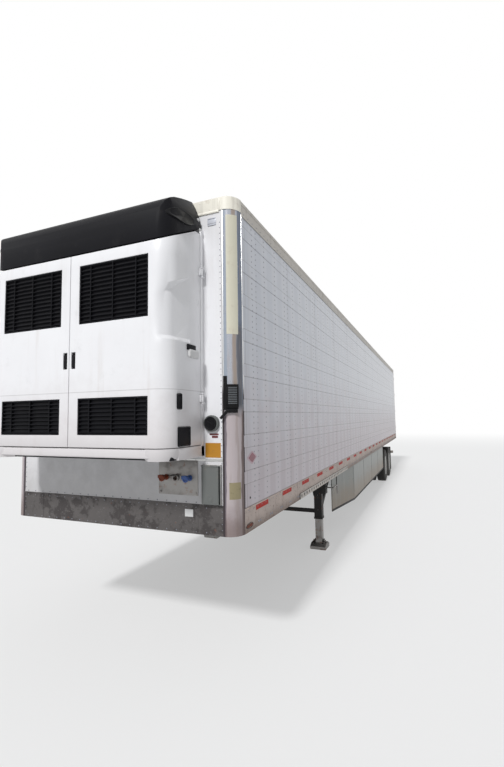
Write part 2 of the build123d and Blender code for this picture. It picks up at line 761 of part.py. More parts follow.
def landing_leg():
    """The left leg's outer tube with its mounting wing and gearbox."""
    y = FRONT_Y + GEAR_SETBACK
    half = GEAR_OUTER_TUBE / 2
    inner = half - GEAR_TUBE_WALL
    side_x = GEAR_X + half
    tube = block((GEAR_X - half, side_x), (y - half, y + half), (GEAR_OUTER_BOTTOM, RAIL_BOTTOM))
    hollow_z = (GEAR_OUTER_BOTTOM - 1, RAIL_BOTTOM - FOOT_HEADROOM / 2)
    tube -= block((GEAR_X - inner, GEAR_X + inner), (y - inner, y + inner), hollow_z)
    wing_low = RAIL_BOTTOM - GEAR_WING_HEIGHT
    wing = [
        (y - GEAR_WING_REACH, RAIL_BOTTOM),
        (y + GEAR_WING_REACH, RAIL_BOTTOM),
        (y + half, wing_low),
        (y - half, wing_low),
    ]
    width, length, height = GEARBOX
    top = RAIL_BOTTOM - GEARBOX_DROP
    gearbox = block((side_x - 1, side_x + width), (y - length / 2, y + length / 2), (top - height, top))
    return tube.fuse(along_x(wing, GEAR_X - half - GEAR_WING, GEAR_X - half), gearbox)


def landing_foot():
    """The left leg's inner tube standing on a wide dished shoe."""
    y = FRONT_Y + GEAR_SETBACK
    half = GEAR_OUTER_TUBE / 2 - GEAR_TUBE_WALL - GEAR_CLEARANCE
    rim = FOOT_HEIGHT / 3
    top = RAIL_BOTTOM - FOOT_HEADROOM
    tube = block((GEAR_X - half, GEAR_X + half), (y - half, y + half), (rim, top))
    toe, flare = FOOT_LENGTH / 2, FOOT_LENGTH / 2 + FOOT_FLARE
    neck = half + FOOT_FLARE
    outline = [
        (y - flare, rim + FOOT_LIP),
        (y - flare, rim),
        (y - toe, 0),
        (y + toe, 0),
        (y + flare, rim),
        (y + flare, rim + FOOT_LIP),
        (y + neck, FOOT_HEIGHT),
        (y - neck, FOOT_HEIGHT),
    ]
    return tube.fuse(along_x(outline, GEAR_X - FOOT_WIDTH / 2, GEAR_X + FOOT_WIDTH / 2))


def landing_braces():
    """The shaft that turns both legs together, and the braces behind and between them."""
    y = FRONT_Y + GEAR_SETBACK
    half = GEAR_OUTER_TUBE / 2
    leg_x = GEAR_X - half
    wing_x = leg_x - GEAR_WING
    shaft_z = RAIL_BOTTOM - GEARBOX_DROP - GEARBOX[2] / 2
    depth, height = GEAR_CROSS_BAR
    low = GEAR_OUTER_BOTTOM + GEAR_BRACE_RISE
    pieces = [
        bar(GEAR_SHAFT_R, (-wing_x, y, shaft_z), (wing_x, y, shaft_z)),
        block((-leg_x, leg_x), (y - depth / 2, y + depth / 2), (low, low + height)),
    ]
    foot = Vector(GEAR_X, y + half, low + height)
    top = Vector(GEAR_X, y + GEAR_BRACE_RUN, RAIL_BOTTOM)
    return pieces + both_sides(brace_plate(foot, top, GEAR_X))


def brace_plate(foot, top, x):
    """A flat diagonal brace in the YZ plane, cut to seat on the leg and under the crossmembers."""
    depth = GEAR_BRACE * 1.6
    outline = [
        (foot.Y, foot.Z - depth),
        (foot.Y, foot.Z),
        (top.Y - depth * 0.7, top.Z),
        (top.Y + depth * 0.5, top.Z),
    ]
    return along_x(outline, x - GEAR_BRACE / 2, x + GEAR_BRACE / 2)


def landing_crank():
    """The crank on the road side, folded back along the rail with its grip hanging."""
    y = FRONT_Y + GEAR_SETBACK
    z = RAIL_BOTTOM - CRANK_DROP
    x0, x1 = GEAR_X + GEAR_OUTER_TUBE / 2 + GEARBOX[0], HALF_WIDTH - CRANK_INSET
    y1 = y + CRANK_ARM
    stub = bar(CRANK_R, (x0, y, z), (x1 + CRANK_R, y, z))
    arm = bar(CRANK_R, (x1, y, z), (x1, y1, z))
    grip = bar(CRANK_R + 3, (x1, y1, z - CRANK_GRIP), (x1, y1, z + CRANK_R))
    return stub.fuse(arm, grip)


def side_skirt():
    """A panel that starts tucked in behind the landing gear and runs flush to the tandem."""
    flush = HALF_WIDTH - SKIRT_INSET
    tucked = flush - SKIRT_TUCK
    start, full, end = (FRONT_Y + d for d in (SKIRT_START, SKIRT_FULL, SKIRT_END))
    z = SKIRT_BOTTOM
    t = SKIRT_THICKNESS
    outline = [
        (tucked, start, z),
        (flush, full, z),
        (flush, end, z),
        (flush - t, end, z),
        (flush - t, full, z),
        (tucked - t, start, z),
    ]
    face = make_face(Polyline(*outline, close=True))
    return extrude(face, amount=RAIL_BOTTOM - SKIRT_BOTTOM, dir=(0, 0, 1))


def skirt_struts():
    """Slanted struts from every few crossmembers to the back of the skirt."""
    inner = HALF_WIDTH - SKIRT_INSET - SKIRT_THICKNESS
    first = math.ceil((SKIRT_FULL - FIRST_CROSSMEMBER) / CROSSMEMBER_PITCH)
    last = math.floor((SKIRT_END - FIRST_CROSSMEMBER) / CROSSMEMBER_PITCH)
    low = SKIRT_BOTTOM + STRUT_RISE
    outline = [
        (inner, low),
        (inner, low + STRUT_SIZE * 1.6),
        (inner - STRUT_REACH, RAIL_BOTTOM),
        (inner - STRUT_REACH - STRUT_SIZE * 1.2, RAIL_BOTTOM),
    ]
    pieces = []
    for y in [crossmember_y(n) for n in range(first, last + 1, STRUT_EVERY)]:
        pieces += both_sides(along_y(outline, y - STRUT_SIZE / 2, y + STRUT_SIZE / 2))
    return pieces


def fuel_tank():
    """A round tank with domed ends, hung on two straps under its crossmembers."""
    y = crossmember_y(TANK_CROSSMEMBER)
    z = RAIL_BOTTOM - TANK_RADIUS - TANK_DROP
    half = TANK_LENGTH / 2
    outline = [
        (-half, 0),
        (-half, TANK_RADIUS - 1.5 * TANK_DOME),
        (TANK_DOME - half, TANK_RADIUS),
        (half - TANK_DOME, TANK_RADIUS),
        (half, TANK_RADIUS - 1.5 * TANK_DOME),
        (half, 0),
    ]
    place = Pos(TANK_X, y, z) * Rot(0, 0, 90)
    neck_x = TANK_X + TANK_RADIUS + TANK_NECK_REACH
    neck_y, neck_z = y - half / 2, z + TANK_NECK_REACH
    pieces = [bar(TANK_NECK_R, (TANK_X, neck_y, neck_z), (neck_x, neck_y, neck_z))]
    outer = TANK_RADIUS + TANK_STRAP_THICKNESS
    for side in SIDES.values():
        middle = side * CROSSMEMBER_PITCH
        low, high = middle - TANK_STRAP / 2, middle + TANK_STRAP / 2
        pieces.append(place * faceted_x([(low, 0), (low, outer), (high, outer), (high, 0)], TANK_FACETS))
        saddle_x = (TANK_X - outer * 0.7, TANK_X + outer * 0.7)
        pieces.append(block(saddle_x, (y + low, y + high), (z + TANK_RADIUS * 0.6, RAIL_BOTTOM)))
    return (place * faceted_x(outline, TANK_FACETS)).fuse(*pieces)


def tandem_body_rail():
    """A lengthwise rail under the body that the tandem slides along."""
    y0 = TANDEM_Y - SLIDER_FRONT - BODY_RAIL_AHEAD
    y1 = TANDEM_Y + SLIDER_BACK + SLIDE_TRAVEL + BODY_RAIL_BEHIND
    return block(
        (SLIDER_X - BODY_RAIL_WIDTH / 2, SLIDER_X + BODY_RAIL_WIDTH / 2),
        (y0, y1),
        (SLIDER_TOP + SLIDER_GAP, RAIL_BOTTOM),
    )


def slider_frame():
    """The sliding subframe: two rails, cross tubes, hangers and the arms that hold the flaps."""
    half = SLIDER_RAIL_WIDTH / 2
    y0, y1 = TANDEM_Y - SLIDER_FRONT, TANDEM_Y + SLIDER_BACK
    rails = [block((SLIDER_X - half, SLIDER_X + half), (y0, y1), (SLIDER_BOTTOM, SLIDER_TOP))]
    arm = ARM_WIDTH / 2
    for y in AXLES_Y.values():
        pivot = y - HANGER_REACH
        plate = [
            (pivot - HANGER_TOP_HALF, SLIDER_BOTTOM + 1),
            (pivot + HANGER_TOP_HALF, SLIDER_BOTTOM + 1),
            (pivot + HANGER_FOOT_HALF, HANGER_BOTTOM),
            (pivot - HANGER_FOOT_HALF, HANGER_BOTTOM),
        ]
        rails.append(along_x(plate, SLIDER_X + arm, SLIDER_X + arm + HANGER_PLATE))
        rails.append(along_x(plate, SLIDER_X - arm - HANGER_PLATE, SLIDER_X - arm))
    flap_z = (FLAP_TOP - FLAP_ARM, FLAP_TOP)
    rails.append(block((SLIDER_X, HALF_WIDTH - FLAP_INSET), (FLAP_Y - FLAP_ARM, FLAP_Y), flap_z))
    pieces = rails[1:] + [mirrored(piece) for piece in rails]
    tube = CROSS_TUBE / 2
    pivots = [y - HANGER_REACH for y in AXLES_Y.values()]
    tube_z_span = (SLIDER_BOTTOM + CROSS_TUBE_INSET, SLIDER_TOP - CROSS_TUBE_INSET)
    for y in (y0 + 1.5 * tube, *pivots, y1 - 1.5 * tube):
        pieces.append(block((-SLIDER_X, SLIDER_X), (y - tube, y + tube), tube_z_span))
    return rails[0].fuse(*pieces)


def trailing_arm(axle_y):
    """One trailing arm, from its hanger over the axle seat to the air spring's seat."""
    seat = TYRE_RADIUS + AXLE_TUBE_R
    reach, eye_low, eye_high = ARM_EYE
    eye_y = axle_y - HANGER_REACH - reach
    tail_y = axle_y + SPRING_REACH + 0.8 * SPRING_RADIUS
    tail = seat + ARM_TAIL
    outline = [
        (eye_y, eye_low),
        (eye_y, eye_high),
        (axle_y - 2 * AXLE_SEAT, seat + ARM_HUMP),
        (axle_y + 0.8 * AXLE_SEAT, seat + ARM_HUMP),
        (axle_y + SPRING_REACH - SPRING_RADIUS, tail),
        (tail_y, tail),
        (tail_y, tail - ARM_TAIL_PLATE),
        (axle_y + AXLE_SEAT / 2, seat),
        (axle_y - AXLE_SEAT / 2, seat),
        (axle_y - 2 * AXLE_SEAT, seat + 10),
    ]
    return along_x(outline, SLIDER_X - ARM_WIDTH / 2, SLIDER_X + ARM_WIDTH / 2)


def air_spring(axle_y):
    """A rubber bellows with two lobes between the arm and the slider rail."""
    low = TYRE_RADIUS + AXLE_TUBE_R + ARM_TAIL
    h = SLIDER_BOTTOM - low
    r = SPRING_RADIUS
    outline = [
        (low, 0),
        (low, r * 0.66),
        (low + h * 0.25, r),
        (low + h * 0.46, r),
        (low + h * 0.55, r * 0.84),
        (low + h * 0.64, r),
        (low + h * 0.86, r),
        (SLIDER_BOTTOM, r * 0.8),
        (SLIDER_BOTTOM, 0),
    ]
    return faceted_z(outline, SPRING_FACETS, SLIDER_X, axle_y + SPRING_REACH)


def axle(axle_y):
    """An axle tube with its spindles, arm seats, brake shields and chambers."""
    z = TYRE_RADIUS
    end = DUAL_X + SPINDLE_REACH
    shoulder = DUAL_X - AXLE_SHOULDER
    tube = bar(AXLE_TUBE_R, (-shoulder, axle_y, z), (shoulder, axle_y, z))
    pieces = [bar(SPINDLE_R, (-end, axle_y, z), (end, axle_y, z))]
    seat_y = (axle_y - AXLE_SEAT / 2, axle_y + AXLE_SEAT / 2)
    chamber_y, chamber_z = axle_y + CHAMBER_AHEAD, z - CHAMBER_R / 3
    for side in SIDES.values():
        x = side * SLIDER_X
        pieces.append(block((x - ARM_WIDTH / 2, x + ARM_WIDTH / 2), seat_y, (z, z + AXLE_TUBE_R)))
        shield = side * shoulder
        ends = [(shield - side * SHIELD_THICKNESS, axle_y, z), (shield, axle_y, z)]
        pieces.append(bar(SHIELD_R, *ends, TANK_FACETS))
        x = side * CHAMBER_X
        bracket_z = (chamber_z - CHAMBER_R / 2, chamber_z + CHAMBER_R / 2)
        pieces.append(block((x - side * 12, x + side * 12), (axle_y, axle_y + CHAMBER_AHEAD), bracket_z))
        far = x + side * CHAMBER_LENGTH
        pieces.append(bar(CHAMBER_R, (x, chamber_y, chamber_z), (far, chamber_y, chamber_z)))
    return tube.fuse(*pieces)


def mud_flap():
    x = HALF_WIDTH - FLAP_INSET
    return block((x - FLAP_WIDTH, x), (FLAP_Y, FLAP_Y + FLAP_THICKNESS), (FLAP_BOTTOM, FLAP_TOP))


def air_tank():
    """The brake air tank, hung under the slider's front cross tube."""
    y = TANDEM_Y - SLIDER_FRONT + 0.75 * CROSS_TUBE
    top = SLIDER_BOTTOM + CROSS_TUBE_INSET
    z = top - AIR_TANK_R
    half, dome = AIR_TANK_LENGTH / 2, AIR_TANK_R / 3
    outline = [
        (-half, 0),
        (-half, AIR_TANK_R - dome),
        (dome - half, AIR_TANK_R),
        (half - dome, AIR_TANK_R),
        (half, AIR_TANK_R - dome),
        (half, 0),
    ]
    saddles = []
    for x in (-half / 2, half / 2):
        saddles.append(block((x - dome / 2, x + dome / 2), (y - 1.5 * dome, y + 1.5 * dome), (z, top)))
    return (Pos(0, y, z) * faceted_x(outline, TANK_FACETS)).fuse(*saddles)


def tyre(middle):
    """A road tyre, as one closed ring about the X axis; middle is its centre along X."""
    half = TYRE_WIDTH / 2
    outline = [
        (middle - half + TYRE_BEAD_INSET, BEAD_SEAT_R),
        (middle - half, TYRE_RADIUS - TYRE_SHOULDER_DROP),
        (middle - half + TYRE_SHOULDER, TYRE_RADIUS),
        (middle + half - TYRE_SHOULDER, TYRE_RADIUS),
        (middle + half, TYRE_RADIUS - TYRE_SHOULDER_DROP),
        (middle + half - TYRE_BEAD_INSET, BEAD_SEAT_R),
    ]
    return faceted_x(outline, WHEEL_FACETS)


def wheel_pair():
    """Both steel wheels of a dual, their hub and brake drum, as one turned piece."""
    seat = BEAD_SEAT_R - SEAT_CLEARANCE
    well = seat - RIM_THICKNESS
    cone = 5 * DISC_FACE
    out = DUAL_SPACING / 2 + RIM_OUT
    outline = [
        (HUB_FACE, 0),
        (HUB_FACE, HUB_NECK_R),
        (DISC_FACE, HUB_R),
        (DISC_FACE, DISC_R),
        (cone, well),
        (out, well),
        (out, seat),
        (-out, seat),
        (-out, well),
        (-cone, well),
        (-cone, DRUM_R),
        (-DRUM_BACK, DRUM_R),
        (-DRUM_BACK, 0),
    ]
    bore = tube_x(SPINDLE_R + SPINDLE_CLEARANCE, -DRUM_BACK - 1, SPINDLE_REACH + SPINDLE_GAP, 0, 0)
    return faceted_x(outline, WHEEL_FACETS) - bore


def set_wheel(piece, side, axle_y):
    """A wheel piece, drawn with its outboard side towards +X, put on one end of an axle."""
    placed = Pos(DUAL_X, axle_y, TYRE_RADIUS) * piece
    return placed if side > 0 else mirrored(placed)


def unit_outer(inset):
    """The cooling unit's outer form, drawn in by inset: round corners, sloping top and round shoulders."""
    x, y_back = UNIT_WIDTH / 2 - inset, FRONT_Y
    y_front = UNIT_FRONT_Y + inset
    low, high = UNIT_BOTTOM + inset, UNIT_TOP - inset
    radius = UNIT_CORNER_R - inset
    turns = [n * math.pi / 2 / CORNER_FACETS for n in range(CORNER_FACETS + 1)]
    corner = [
        (x - radius + radius * math.cos(a), y_front + radius - radius * math.sin(a), low) for a in turns
    ]
    other = [(-px, py, low) for px, py, _ in reversed(corner)]
    outline = [(x, y_back, low), *corner, *other, (-x, y_back, low)]
    plan = extrude(make_face(Polyline(*outline, close=True)), amount=high - low, dir=(0, 0, 1))
    profile = [
        (y_back, low),
        (y_front + UNIT_TOE, low),
        (y_front, low + 1.5 * UNIT_TOE),
        (y_front, high - 6.8 * UNIT_TOE),
        (y_front + 0.3 * UNIT_TOE, high - 4.8 * UNIT_TOE),
        (y_front + 1.25 * UNIT_TOE, high - 3.4 * UNIT_TOE),
        (y_front + 5 * UNIT_TOE, high - 1.8 * UNIT_TOE),
        (y_back, high),
    ]
    shoulder = [(x - within, high - drop) for within, drop in UNIT_SHOULDER]
    gable = [(x, low), *shoulder, *[(-sx, sz) for sx, sz in reversed(shoulder)], (-x, low)]
    return plan & along_x(profile, -x - 1, x + 1) & along_y(gable, y_front, y_back)


def below_split(gap):
    """Everything under the joint between the doors and the hood, lowered by gap; level beside the hinges."""
    level_y = FRONT_Y - UNIT_SPLIT_LEVEL
    outline = [
        (FRONT_Y, 0.0),
        (FRONT_Y, UNIT_SPLIT_BACK - gap),
        (level_y, UNIT_SPLIT_BACK - gap),
        (UNIT_FRONT_Y, UNIT_SPLIT_FRONT - gap),
        (UNIT_FRONT_Y - UNIT_SHELL, UNIT_SPLIT_FRONT - gap),
        (UNIT_FRONT_Y - UNIT_SHELL, 0.0),
    ]
    return along_x(outline, -UNIT_WIDTH, UNIT_WIDTH)


def unit_door():
    """The left service door: half the front, the round corner and the side, in one moulded shell."""
    shell = unit_outer(0) - unit_outer(UNIT_SHELL)
    span = (-UNIT_WIDTH, UNIT_WIDTH)
    shell -= block(span, (UNIT_FRONT_Y - 1, FRONT_Y + 1), (0, UNIT_BOTTOM + UNIT_TRAY))
    shell = shell & below_split(UNIT_SPLIT_GAP / 2)
    back_y = FRONT_Y - UNIT_FLANGE - UNIT_DOOR_GAP
    half = block((UNIT_DOOR_GAP / 2, UNIT_WIDTH), (UNIT_FRONT_Y - 1, back_y), (0, UNIT_TOP))
    return (shell & half).fuse(*[unit_hinge_leaf(z) for z in UNIT_HINGES_Z])


def unit_hinge_leaf(z):
    """A knuckle with its bracket on the side of a service door; the low one is bored round."""
    half = UNIT_HINGE_LENGTH / 2
    x = UNIT_WIDTH / 2
    radius = UNIT_PIN_R + HINGE_CLEARANCE
    low, high = z - half, z + half
    knuckle = bar(UNIT_HINGE_R, (UNIT_HINGE_X, UNIT_HINGE_Y, low), (UNIT_HINGE_X, UNIT_HINGE_Y, high))
    leaf = block((x - 1, UNIT_HINGE_X + UNIT_PIN_R), (UNIT_HINGE_Y - half, UNIT_HINGE_Y), (low, high))
    if z == UNIT_HINGES_Z[0]:
        hole = tube_z(radius, low - 1, high + 1, UNIT_HINGE_X, UNIT_HINGE_Y)
    else:
        hole = bore(radius, (UNIT_HINGE_X, UNIT_HINGE_Y, low - 1), (UNIT_HINGE_X, UNIT_HINGE_Y, high + 1))
    return leaf.fuse(knuckle) - hole


def unit_hinge_lugs(z):
    """Two lugs on the housing's flange, with the pin between them."""
    half = UNIT_HINGE_LENGTH / 2 + UNIT_DOOR_GAP
    thick = HINGE_LUG / 2
    ends = [(UNIT_HINGE_X, UNIT_HINGE_Y, z + s * (half + thick)) for s in (-1, 1)]
    pieces = [bar(UNIT_PIN_R, *ends)]
    flange_y = FRONT_Y - UNIT_FLANGE
    far_x = UNIT_HINGE_X + UNIT_HINGE_R
    for low in (z - half - thick, z + half):
        ear_x = (UNIT_WIDTH / 2 + UNIT_DOOR_GAP, far_x)
        pieces.append(block(ear_x, (UNIT_HINGE_Y - UNIT_HINGE_R, flange_y + 10), (low, low + thick)))
        root_x = (UNIT_WIDTH / 2 - 1, far_x)
        pieces.append(block(root_x, (flange_y, flange_y + UNIT_FLANGE / 2), (low, low + thick)))
    return pieces


def unit_housing():
    """The fixed part: back flange, base tray and the hood over the top, open where the doors close."""
    outer = unit_outer(0)
    hood = (outer - unit_outer(UNIT_SHELL)) - below_split(-UNIT_SPLIT_GAP / 2)
    span = (-UNIT_WIDTH, UNIT_WIDTH)
    inside = UNIT_WIDTH / 2 - UNIT_SIDE_FRAME
    tray_top = UNIT_BOTTOM + UNIT_TRAY - UNIT_DOOR_GAP
    tray = outer & block(span, (UNIT_FRONT_Y - 1, FRONT_Y), (UNIT_BOTTOM, tray_top))
    well_y = (UNIT_FRONT_Y + 1.2 * UNIT_TOE, FRONT_Y - UNIT_BACK)
    tray -= block((-inside, inside), well_y, (UNIT_BOTTOM + UNIT_FLOOR, UNIT_TOP))
    back = outer & block(span, (FRONT_Y - UNIT_FLANGE, FRONT_Y), (UNIT_BOTTOM, UNIT_TOP))
    window_y = (FRONT_Y - UNIT_FLANGE - 1, FRONT_Y - UNIT_BACK)
    window = block((-inside, inside), window_y, (UNIT_BOTTOM + UNIT_FLOOR, UNIT_SPLIT_FRONT))
    lugs = [piece for z in UNIT_HINGES_Z for piece in unit_hinge_lugs(z)]
    case = hood.fuse(tray, back - window, *lugs, *[mirrored(piece) for piece in lugs])
    cap_y = FRONT_Y - CAP_PROUD - UNIT_HEAD_GAP
    return case - block(span, (cap_y, FRONT_Y + 1), (CAP_BOTTOM - UNIT_HEAD_GAP, UNIT_TOP + 1))


def unit_engine():
    """One plain block for the engine and compressor, on the unit's tray."""
    length, depth, height = ENGINE
    y1 = FRONT_Y - UNIT_BACK - 20
    z0 = UNIT_BOTTOM + UNIT_FLOOR
    return block((-length / 2, length / 2), (y1 - depth, y1), (z0, z0 + height))


def document_box():
    """A shallow box for papers on the front wall, open at the front."""
    x0, x1 = BOX_X - BOX_WIDTH / 2, BOX_X + BOX_WIDTH / 2
    z0, z1 = BOX_BOTTOM, BOX_BOTTOM + BOX_HEIGHT
    face_y = FRONT_Y - BOX_DEPTH
    outer = block((x0, x1), (face_y, FRONT_Y), (z0, z1))
    wall = BOX_WALL
    inner = block((x0 + wall, x1 - wall), (face_y - 1, FRONT_Y - wall), (z0 + wall, z1 - wall))
    pin_y = face_y - LID_GAP - LID_THICKNESS
    pin = bar(LID_PIN_R, (x0, pin_y, z1 - wall), (x1, pin_y, z1 - wall))
    ears = []
    for x in (x0, x1 - 2 * wall):
        ears.append(block((x, x + 2 * wall), (pin_y - wall, face_y + 1), (z1 - 2 * wall, z1)))
    return (outer - inner).fuse(pin, *ears)


def document_lid():
    """The box's front lid, turning on a pin along its top edge."""
    x0, x1 = BOX_X - BOX_WIDTH / 2 + LID_INSET, BOX_X + BOX_WIDTH / 2 - LID_INSET
    z1 = BOX_BOTTOM + BOX_HEIGHT - BOX_WALL
    pin_y = FRONT_Y - BOX_DEPTH - LID_GAP - LID_THICKNESS
    half = LID_THICKNESS / 2
    plate = block((x0, x1), (pin_y - half, pin_y + half), (BOX_BOTTOM + BOX_WALL, z1))
    knuckle = bar(LID_KNUCKLE_R, (x0, pin_y, z1), (x1, pin_y, z1))
    bore = tube_x(LID_PIN_R + HINGE_CLEARANCE, x0 - 1, x1 + 1, pin_y, z1)
    return plate.fuse(knuckle) - bore


def document_can():
    """A round, flat can with a screwed lid, for the registration papers."""
    y = FRONT_Y - CAN_DEPTH
    rim_y = y + CAN_RIM
    body = bar(CAN_R, (CAN_X, FRONT_Y, CAN_Z), (CAN_X, rim_y, CAN_Z), TANK_FACETS)
    return body.fuse(bar(CAN_R - CAN_RIM, (CAN_X, rim_y, CAN_Z), (CAN_X, y, CAN_Z), TANK_FACETS))


def corner_display():
    """The status display on the road-side corner, facing the driver's mirror."""
    half = DISPLAY_WIDTH / 2
    low, high = DISPLAY_BOTTOM, DISPLAY_BOTTOM + DISPLAY_HEIGHT
    front = -CORNER_RADIUS - DISPLAY_DEPTH
    foot = DISPLAY_DEPTH * 0.6
    profile = [
        (front, high),
        (-CORNER_RADIUS + foot, high),
        (-CORNER_RADIUS + foot, low),
        (front + foot, low),
        (front, low + foot),
    ]
    shape = along_x(profile, -half, half)
    shape -= tube_z(CORNER_RADIUS + SEAT_CLEARANCE, low - 1, high + 1, 0, 0)
    return Pos(CORNER_X - CORNER_RADIUS, POST_END_Y, 0) * Rot(0, 0, DISPLAY_TURN) * shape


def connection_plate():
    """The plate that carries two air couplings and the electric socket."""
    half, rise = PLATE_WIDTH / 2, PLATE_HEIGHT / 2
    face = FRONT_Y - PLATE_THICKNESS
    plate_z = (PLATE_Z - rise, PLATE_Z + rise)
    plate = block((PLATE_X - half, PLATE_X + half), (face, FRONT_Y), plate_z)
    pieces = []
    neck, head = COUPLING_NECK, COUPLING_HEAD
    neck_y, head_y = face - COUPLING_REACH, face - COUPLING_REACH - head
    for x in (PLATE_X - COUPLING_X, PLATE_X + COUPLING_X):
        neck_z = (PLATE_Z - neck / 2, PLATE_Z + neck / 2)
        pieces.append(block((x - neck / 2, x + neck / 2), (neck_y, face + 1), neck_z))
        pieces.append(block((x - head, x + head), (head_y, neck_y), (PLATE_Z - head, PLATE_Z + head)))
    outer = SOCKET_R + SOCKET_WALL
    mouth = face - SOCKET_DEPTH
    pieces.append(bar(outer, (PLATE_X, face + 1, PLATE_Z), (PLATE_X, mouth, PLATE_Z), TANK_FACETS))
    lip = PLATE_Z + outer
    lip_z = (lip - SOCKET_WALL / 2, lip + SOCKET_WALL)
    pieces.append(block((PLATE_X - outer, PLATE_X + outer), (mouth, face + 1), lip_z))
    return plate.fuse(*pieces) - tube_y(SOCKET_R, face, mouth - 1, PLATE_X, PLATE_Z)


def return_bulkhead():
    """The ribbed panel inside, a hand's width off the front wall, open at its foot for the air's return."""
    wall_y = FRONT_Y + FRONT_WALL
    face_y = wall_y + BULKHEAD_DEPTH
    half = BULKHEAD_WIDTH / 2
    z = FLOOR_TOP + BULKHEAD_FOOT
    pitch = BULKHEAD_WIDTH / BULKHEAD_RIBS
    outline = [(-half, wall_y, z)]
    for n in range(BULKHEAD_RIBS):
        x = -half + n * pitch
        outline += [
            (x, face_y, z),
            (x + pitch * 0.4, face_y, z),
            (x + pitch * 0.5, face_y + BULKHEAD_RIB, z),
            (x + pitch * 0.9, face_y + BULKHEAD_RIB, z),
        ]
    outline += [(half, face_y, z), (half, wall_y, z)]
    t = BULKHEAD_SKIN
    inner = half - t
    outline += [(inner, wall_y, z), (inner, face_y - t, z), (-inner, face_y - t, z), (-inner, wall_y, z)]
    face = make_face(Polyline(*outline, close=True))
    return extrude(face, amount=BULKHEAD_TOP - z, dir=(0, 0, 1))


def pierced_rail():
    """The bright strip on the bottom rail's lower edge, beside the landing gear."""
    y0, y1 = FRONT_Y + PIERCED_START, FRONT_Y + PIERCED_END
    z = RAIL_BOTTOM
    return block((HALF_WIDTH, HALF_WIDTH + PIERCED_THICKNESS), (y0, y1), (z, z + PIERCED_HEIGHT))


def lamps():
    """Marker lamps along the sides and top edges, and the tail lamps in the sill."""
    pieces = []
    length, height, proud = SIDE_LAMP
    middle_z = RAIL_BOTTOM + SIDE_LAMP_RISE
    for d in (SIDE_LAMP_INSET, BODY_LENGTH / 2, BODY_LENGTH - SIDE_LAMP_INSET):
        y = FRONT_Y + d
        lens_z = (middle_z - height / 2, middle_z + height / 2)
        lens_y = (y - length / 2, y + length / 2)
        pieces += both_sides(block((HALF_WIDTH, HALF_WIDTH + proud), lens_y, lens_z))
    face = REAR_Y + REAR_LAMP_PROUD
    z = (RAIL_BOTTOM + FLOOR_TOP) / 2
    for x in TAIL_LAMPS_X:
        pieces += both_sides(bar(TAIL_LAMP_R, (x, REAR_Y, z), (x, face, z)))
    width, height = TOP_LAMP
    z = (TOP_RAIL_BOTTOM + RAIL_TOP) / 2
    for x in TOP_LAMPS_X:
        lamp = block((x - width / 2, x + width / 2), (REAR_Y, face), (z - height / 2, z + height / 2))
        pieces += both_sides(lamp) if x else [lamp]
    return pieces


def nodes():
    """Every node's name and what is in it."""
    built = {
        "front_wall": front_wall(),
        "front_sill": front_sill(),
        "front_corners": both_sides(front_corner()),
        "front_cap": front_cap(),
        "top_rails": both_sides(top_rail()),
        "bottom_rails": both_sides(bottom_rail()),
        "roof": roof(),
        "floor": floor(),
        "crossmembers": crossmembers(),
        "upper_coupler": upper_coupler(),
        "kingpin": kingpin(),
        "rear_frame": rear_frame(),
        "rear_guard": rear_guard(),
        "dock_bumpers": both_sides(dock_bumper()),
        "landing_legs": both_sides(landing_leg()),
        "landing_feet": both_sides(landing_foot()),
        "landing_braces": landing_braces(),
        "landing_crank": landing_crank(),
        "side_skirts": both_sides(side_skirt()),
        "skirt_struts": skirt_struts(),
        "fuel_tank": fuel_tank(),
        "tandem_body_rails": both_sides(tandem_body_rail()),
        "pierced_rails": both_sides(pierced_rail()),
        "lamps": lamps(),
        "axles": [axle(y) for y in AXLES_Y.values()],
        "slider_frame": slider_frame(),
        "trailing_arms": [p for y in AXLES_Y.values() for p in both_sides(trailing_arm(y))],
        "air_springs": [p for y in AXLES_Y.values() for p in both_sides(air_spring(y))],
        "mud_flaps": both_sides(mud_flap()),
        "air_tank": air_tank(),
        "return_bulkhead": return_bulkhead(),
        "unit_housing": unit_housing(),
        "unit_engine": unit_engine(),
        "document_box": document_box(),
        "document_lid": document_lid(),
        "document_can": document_can(),
        "corner_display": corner_display(),
        "connection_plate": connection_plate(),
    }
    wall, panel, hardware, door = side_wall(), door_panel(), door_hardware(), unit_door()
    tyres, wheels = [tyre(DUAL_SPACING / 2), tyre(-DUAL_SPACING / 2)], wheel_pair()
    for side, sign in SIDES.items():
        own = (lambda piece: piece) if sign > 0 else mirrored
        built[f"side_wall_{side}"] = own(wall)
        built[f"rear_door_{side}"] = own(panel)
        built[f"rear_door_{side}_hardware"] = [own(piece) for piece in hardware]
        built[f"unit_door_{side}"] = own(door)
        for row, y in AXLES_Y.items():
            built[f"wheels_{row}_{side}"] = set_wheel(wheels, sign, y)
            built[f"tyres_{row}_{side}"] = [set_wheel(piece, sign, y) for piece in tyres]
    return built


def main():
    os.makedirs("parts", exist_ok=True)
    for name, shape in nodes().items():
        pieces = shape if isinstance(shape, list) else [shape]
        solids = [solid for piece in pieces for solid in piece.solids()]
        export_step(Compound(children=solids) if len(solids) > 1 else solids[0], f"parts/{name}.step")


main()
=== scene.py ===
"""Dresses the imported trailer: finishes, rivets, marks, wheels, the cooling unit's skin and the studio."""

